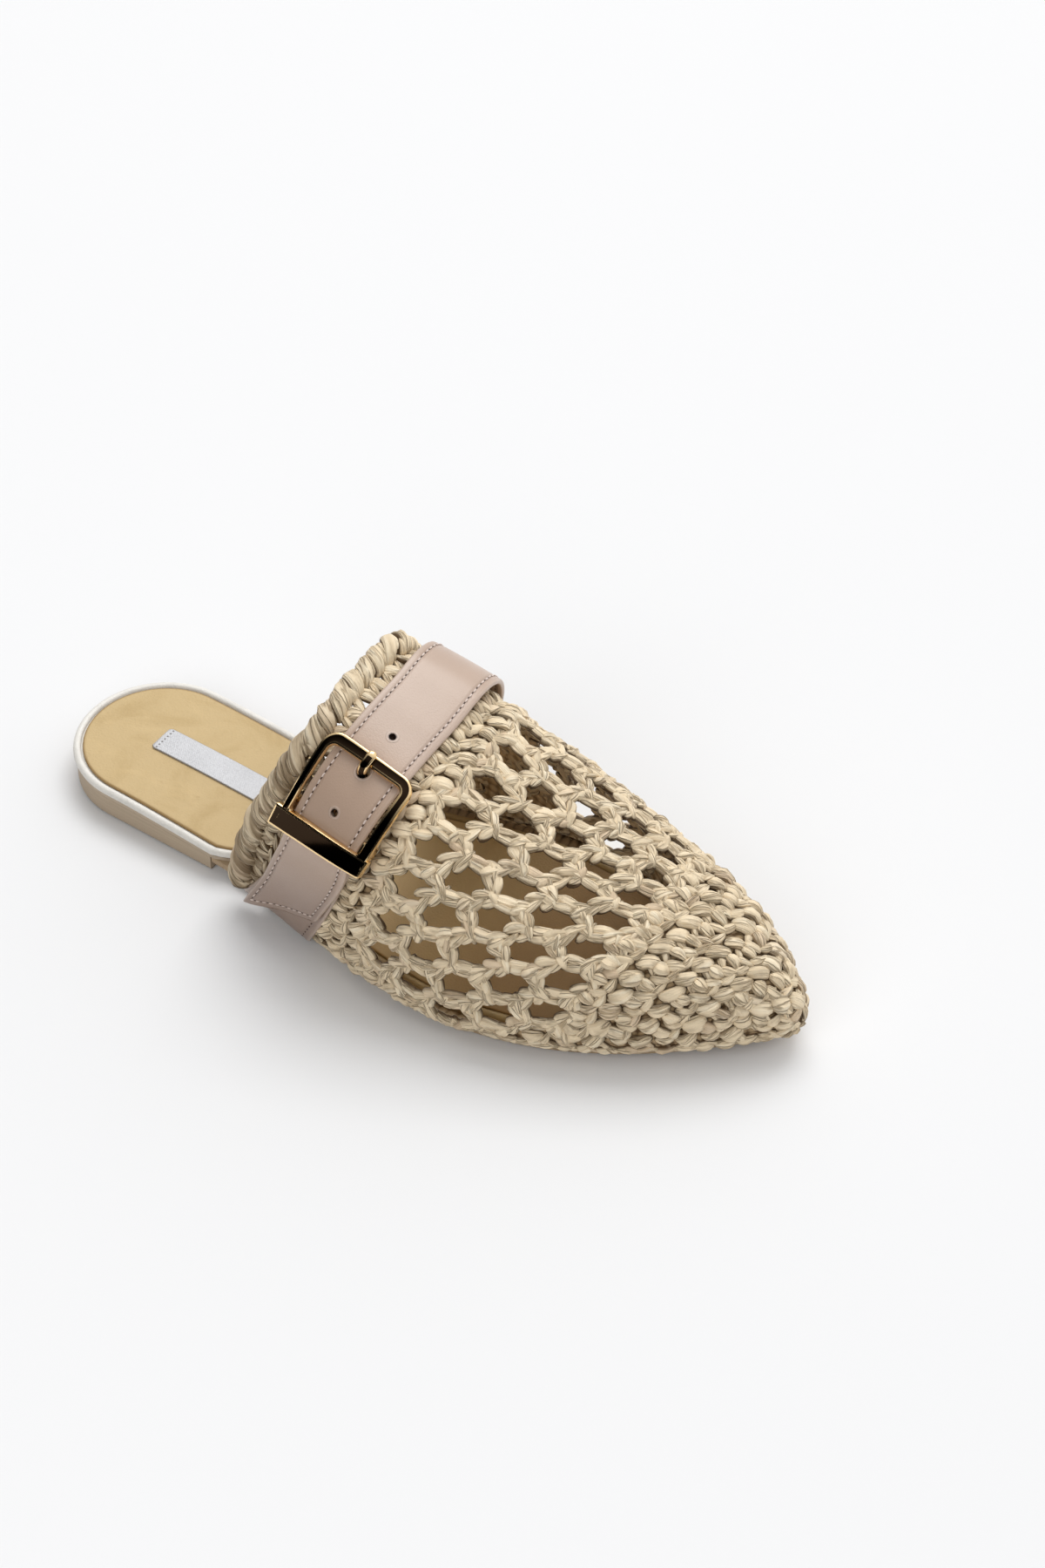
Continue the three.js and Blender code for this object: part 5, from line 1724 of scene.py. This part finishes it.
class MULE_OT_buckle(PieceOperator):
    """Buckle frame with its hinge bar, and the prong."""

    bl_idname = "mule.buckle"
    bl_label = "Buckle"

    def execute(self, context):
        settings = context.scene.mule_buckle
        finish = gilt_finish(settings)
        bevel = settings.bevel * 1000
        frame_body, frame_face = self.frame(bevel)
        bar, bar_face = self.lower_bar(bevel)
        across = np.linspace(-BUCKLE_HALF + 0.2, BUCKLE_HALF + 0.4, 24)
        hinge = closed_loft(rod(on_strap(HINGE_WAY, across, HINGE_OFF), HINGE_RADIUS, HINGE_RADIUS, 12))
        body = joined([frame_body, bar, self.lug(-1), self.lug(1), hinge])
        face = np.concatenate([frame_face, bar_face])
        face = np.concatenate([face, np.zeros(len(body[0]) - face.size)])
        add_piece("buckle_gilt", body, finish, "buckle_frame", values={"face": face}, sharp=32)
        body, face = self.prong()
        add_piece("prong_gilt", body, finish, "buckle_prong", values={"face": face}, sharp=60)
        return {"FINISHED"}

    @staticmethod
    def frame(bevel):
        """The four-sided frame with its bevelled edges, and which of its points are on the face that carries
        a painted dark reflection.
        """
        up, high = BUCKLE_HEIGHT / 2, BUCKLE_THICK
        outer = frame_outline(up, up, BUCKLE_HALF, (BUCKLE_FLARE_REAR, BUCKLE_FLARE), BUCKLE_TOP_CORNER,
                              BUCKLE_LOW_CORNER)
        inner = frame_outline(up - BUCKLE_BAR, up - BUCKLE_LOWER_BAR, BUCKLE_HALF - BUCKLE_SIDE,
                              (0.0, BUCKLE_FLARE * 0.7), BUCKLE_TOP_CORNER - BUCKLE_SIDE, BUCKLE_LOW_CORNER)
        width = np.linalg.norm(outer - inner, axis=1)
        slope = bevelled(0.45, high, bevel)
        rings = []
        for start, end, profile in ((outer, inner, slope), (inner, outer, slope[::-1]),
                                    (inner, outer, ((0.45, 0.0),)), (outer, inner, ((0.45, 0.0),))):
            for inwards, height in profile:
                flat = mix(start, end, (inwards / width)[:, None])
                way = BUCKLE_WAY + flat[:, 0]
                rings.append(on_strap(way, flat[:, 1], frame_off(way) + height))
        face = np.zeros((len(outer), len(rings)))
        face[:, DARK_REFLECTION_FACE] = 1
        return closed_loft(np.stack(rings, 1), looped=True), face.ravel()

    @staticmethod
    def lower_bar(bevel):
        """The broad lower bar, which stands out past the frame at the rear, and its face that carries a
        painted dark reflection.
        """
        half, high = BUCKLE_LOWER_BAR / 2 + 0.06, BUCKLE_THICK + 0.12
        rise = bevelled(0.3, high, bevel)
        offset = np.concatenate([rise[:, 0] - half, half - rise[::-1, 0]])
        height = np.concatenate([rise[:, 1], rise[::-1, 1]])
        start, end = -BUCKLE_HALF - BUCKLE_FLARE - 0.3, BUCKLE_HALF + BUCKLE_FLARE + 0.5
        ease = np.array([0.0, 0.3, 1.0, 1.15]) * bevel
        across = np.concatenate([start + ease, np.linspace(start + 2, end - 2, 20), end - ease[::-1]])
        drop = np.concatenate([[bevel, 0.3 * bevel], np.zeros(len(across) - 4), [0.3 * bevel, bevel]])
        rings = [on_strap(LOWER_BAR_WAY + offset * (1 - 0.12 * down / bevel), there,
                          frame_off(LOWER_BAR_WAY + offset) + np.minimum(height, high - down))
                 for there, down in zip(across, drop)]
        face = np.zeros((len(across), len(offset)))
        face[3:-3, DARK_REFLECTION_FACE] = 1
        return closed_loft(np.array(rings)), np.concatenate([face.ravel(), [0, 0]])

    @staticmethod
    def lug(side):
        """Lug that carries one end of the hinge bar, under the frame's side bar."""
        turn = full_turn(16)
        along, over = signed_power(np.cos(turn), 0.45), signed_power(np.sin(turn), 0.45)
        way = HINGE_WAY + HINGE_LUG / 2 * along
        off = mix(HINGE_OFF - HINGE_RADIUS - 0.2, frame_off(way) + 0.9, (1 + over) / 2)
        across = np.linspace(STRAP_EDGE + BUCKLE_GAP, BUCKLE_HALF + 0.45 * side, 4)
        return closed_loft(np.array([on_strap(way, side * there, off) for there in across]))

    @staticmethod
    def prong():
        """The prong leaves the hinge under the strap, comes through its hole and lies on the bar.
        Its face, painted with a dark reflection, is its upper side between the hole and the tip."""
        rings, sides = 60, 16
        over_bar = frame_off(TOP_BAR_WAY) + BUCKLE_THICK + FIT + PRONG_RADIUS
        under = strap_underside(HINGE_WAY + 8, 0) - FIT - PRONG_RADIUS
        hole = float(strap_underside(PRONG_HOLE_WAY, 0.0))
        route = np.array([
            (HINGE_WAY + HINGE_RADIUS + FIT + PRONG_RADIUS, HINGE_OFF), (HINGE_WAY + 8, under),
            (PRONG_HOLE_WAY - 2.4, hole - FIT - PRONG_RADIUS), (PRONG_HOLE_WAY - 0.7, hole + 0.2),
            (PRONG_HOLE_WAY - 0.3, over_bar - 1.6), (PRONG_HOLE_WAY + 1.3, over_bar),
            (TOP_BAR_WAY, over_bar), (TOP_BAR_WAY + BUCKLE_BAR / 2 + 0.4, over_bar - 0.2)], float)
        knots = ways_along(route)
        at = np.linspace(0, knots[-1], rings)
        line = np.stack([np.interp(at, knots, route[:, k]) for k in (0, 1)], 1)
        for _ in range(3):
            line[1:-1] = (line[:-2] + 2 * line[1:-1] + line[2:]) / 4
        left = np.clip((knots[-1] - at) / 1.6, 0, 1)
        tip = np.sqrt(np.maximum(1 - (1 - left) ** 2, 0.02))
        route = on_strap(line[:, 0], 0.0, line[:, 1])
        is_past_hole = (np.arange(rings) > 12) & (np.arange(rings) < 55)
        face = is_past_hole[:, None] & (np.sin(full_turn(sides)) > 0.75)[None, :]
        return (closed_loft(rod(route, 1.6 * tip, PRONG_RADIUS * tip, sides)),
                np.concatenate([face.ravel(), [0, 0]]))


class MULE_PT_panel(bpy.types.Panel):
    """Lists the slipper's pieces and their settings."""

    bl_idname = "MULE_PT_panel"
    bl_label = "Slipper"
    bl_space_type = "VIEW_3D"
    bl_region_type = "UI"
    bl_category = "Slipper"

    def draw(self, context):
        for operator in OPERATORS:
            self.layout.operator(operator.bl_idname)
        for name, group in SETTINGS.items():
            box = self.layout.box()
            for field in group.__annotations__:
                box.prop(getattr(context.scene, name), field)


OPERATORS = (MULE_OT_stage, MULE_OT_soles, MULE_OT_footbed, MULE_OT_insole, MULE_OT_backing, MULE_OT_toe,
             MULE_OT_band, MULE_OT_net, MULE_OT_rim, MULE_OT_strap, MULE_OT_buckle)
SETTINGS = {"mule_raffia": RaffiaSettings, "mule_strap": StrapSettings, "mule_buckle": BuckleSettings,
            "mule_soles": SoleSettings, "mule_stage": StageSettings}


def register():
    for name, group in SETTINGS.items():
        bpy.utils.register_class(group)
        setattr(bpy.types.Scene, name, bpy.props.PointerProperty(type=group))
    for operator in OPERATORS:
        bpy.utils.register_class(operator)
    bpy.utils.register_class(MULE_PT_panel)


def unregister():
    bpy.utils.unregister_class(MULE_PT_panel)
    for operator in reversed(OPERATORS):
        bpy.utils.unregister_class(operator)
    for name, group in SETTINGS.items():
        delattr(bpy.types.Scene, name)
        bpy.utils.unregister_class(group)


def main():
    register()
    for operator in OPERATORS:
        getattr(bpy.ops.mule, operator.bl_idname.split(".")[1])()


if __name__ == "__main__":
    main()
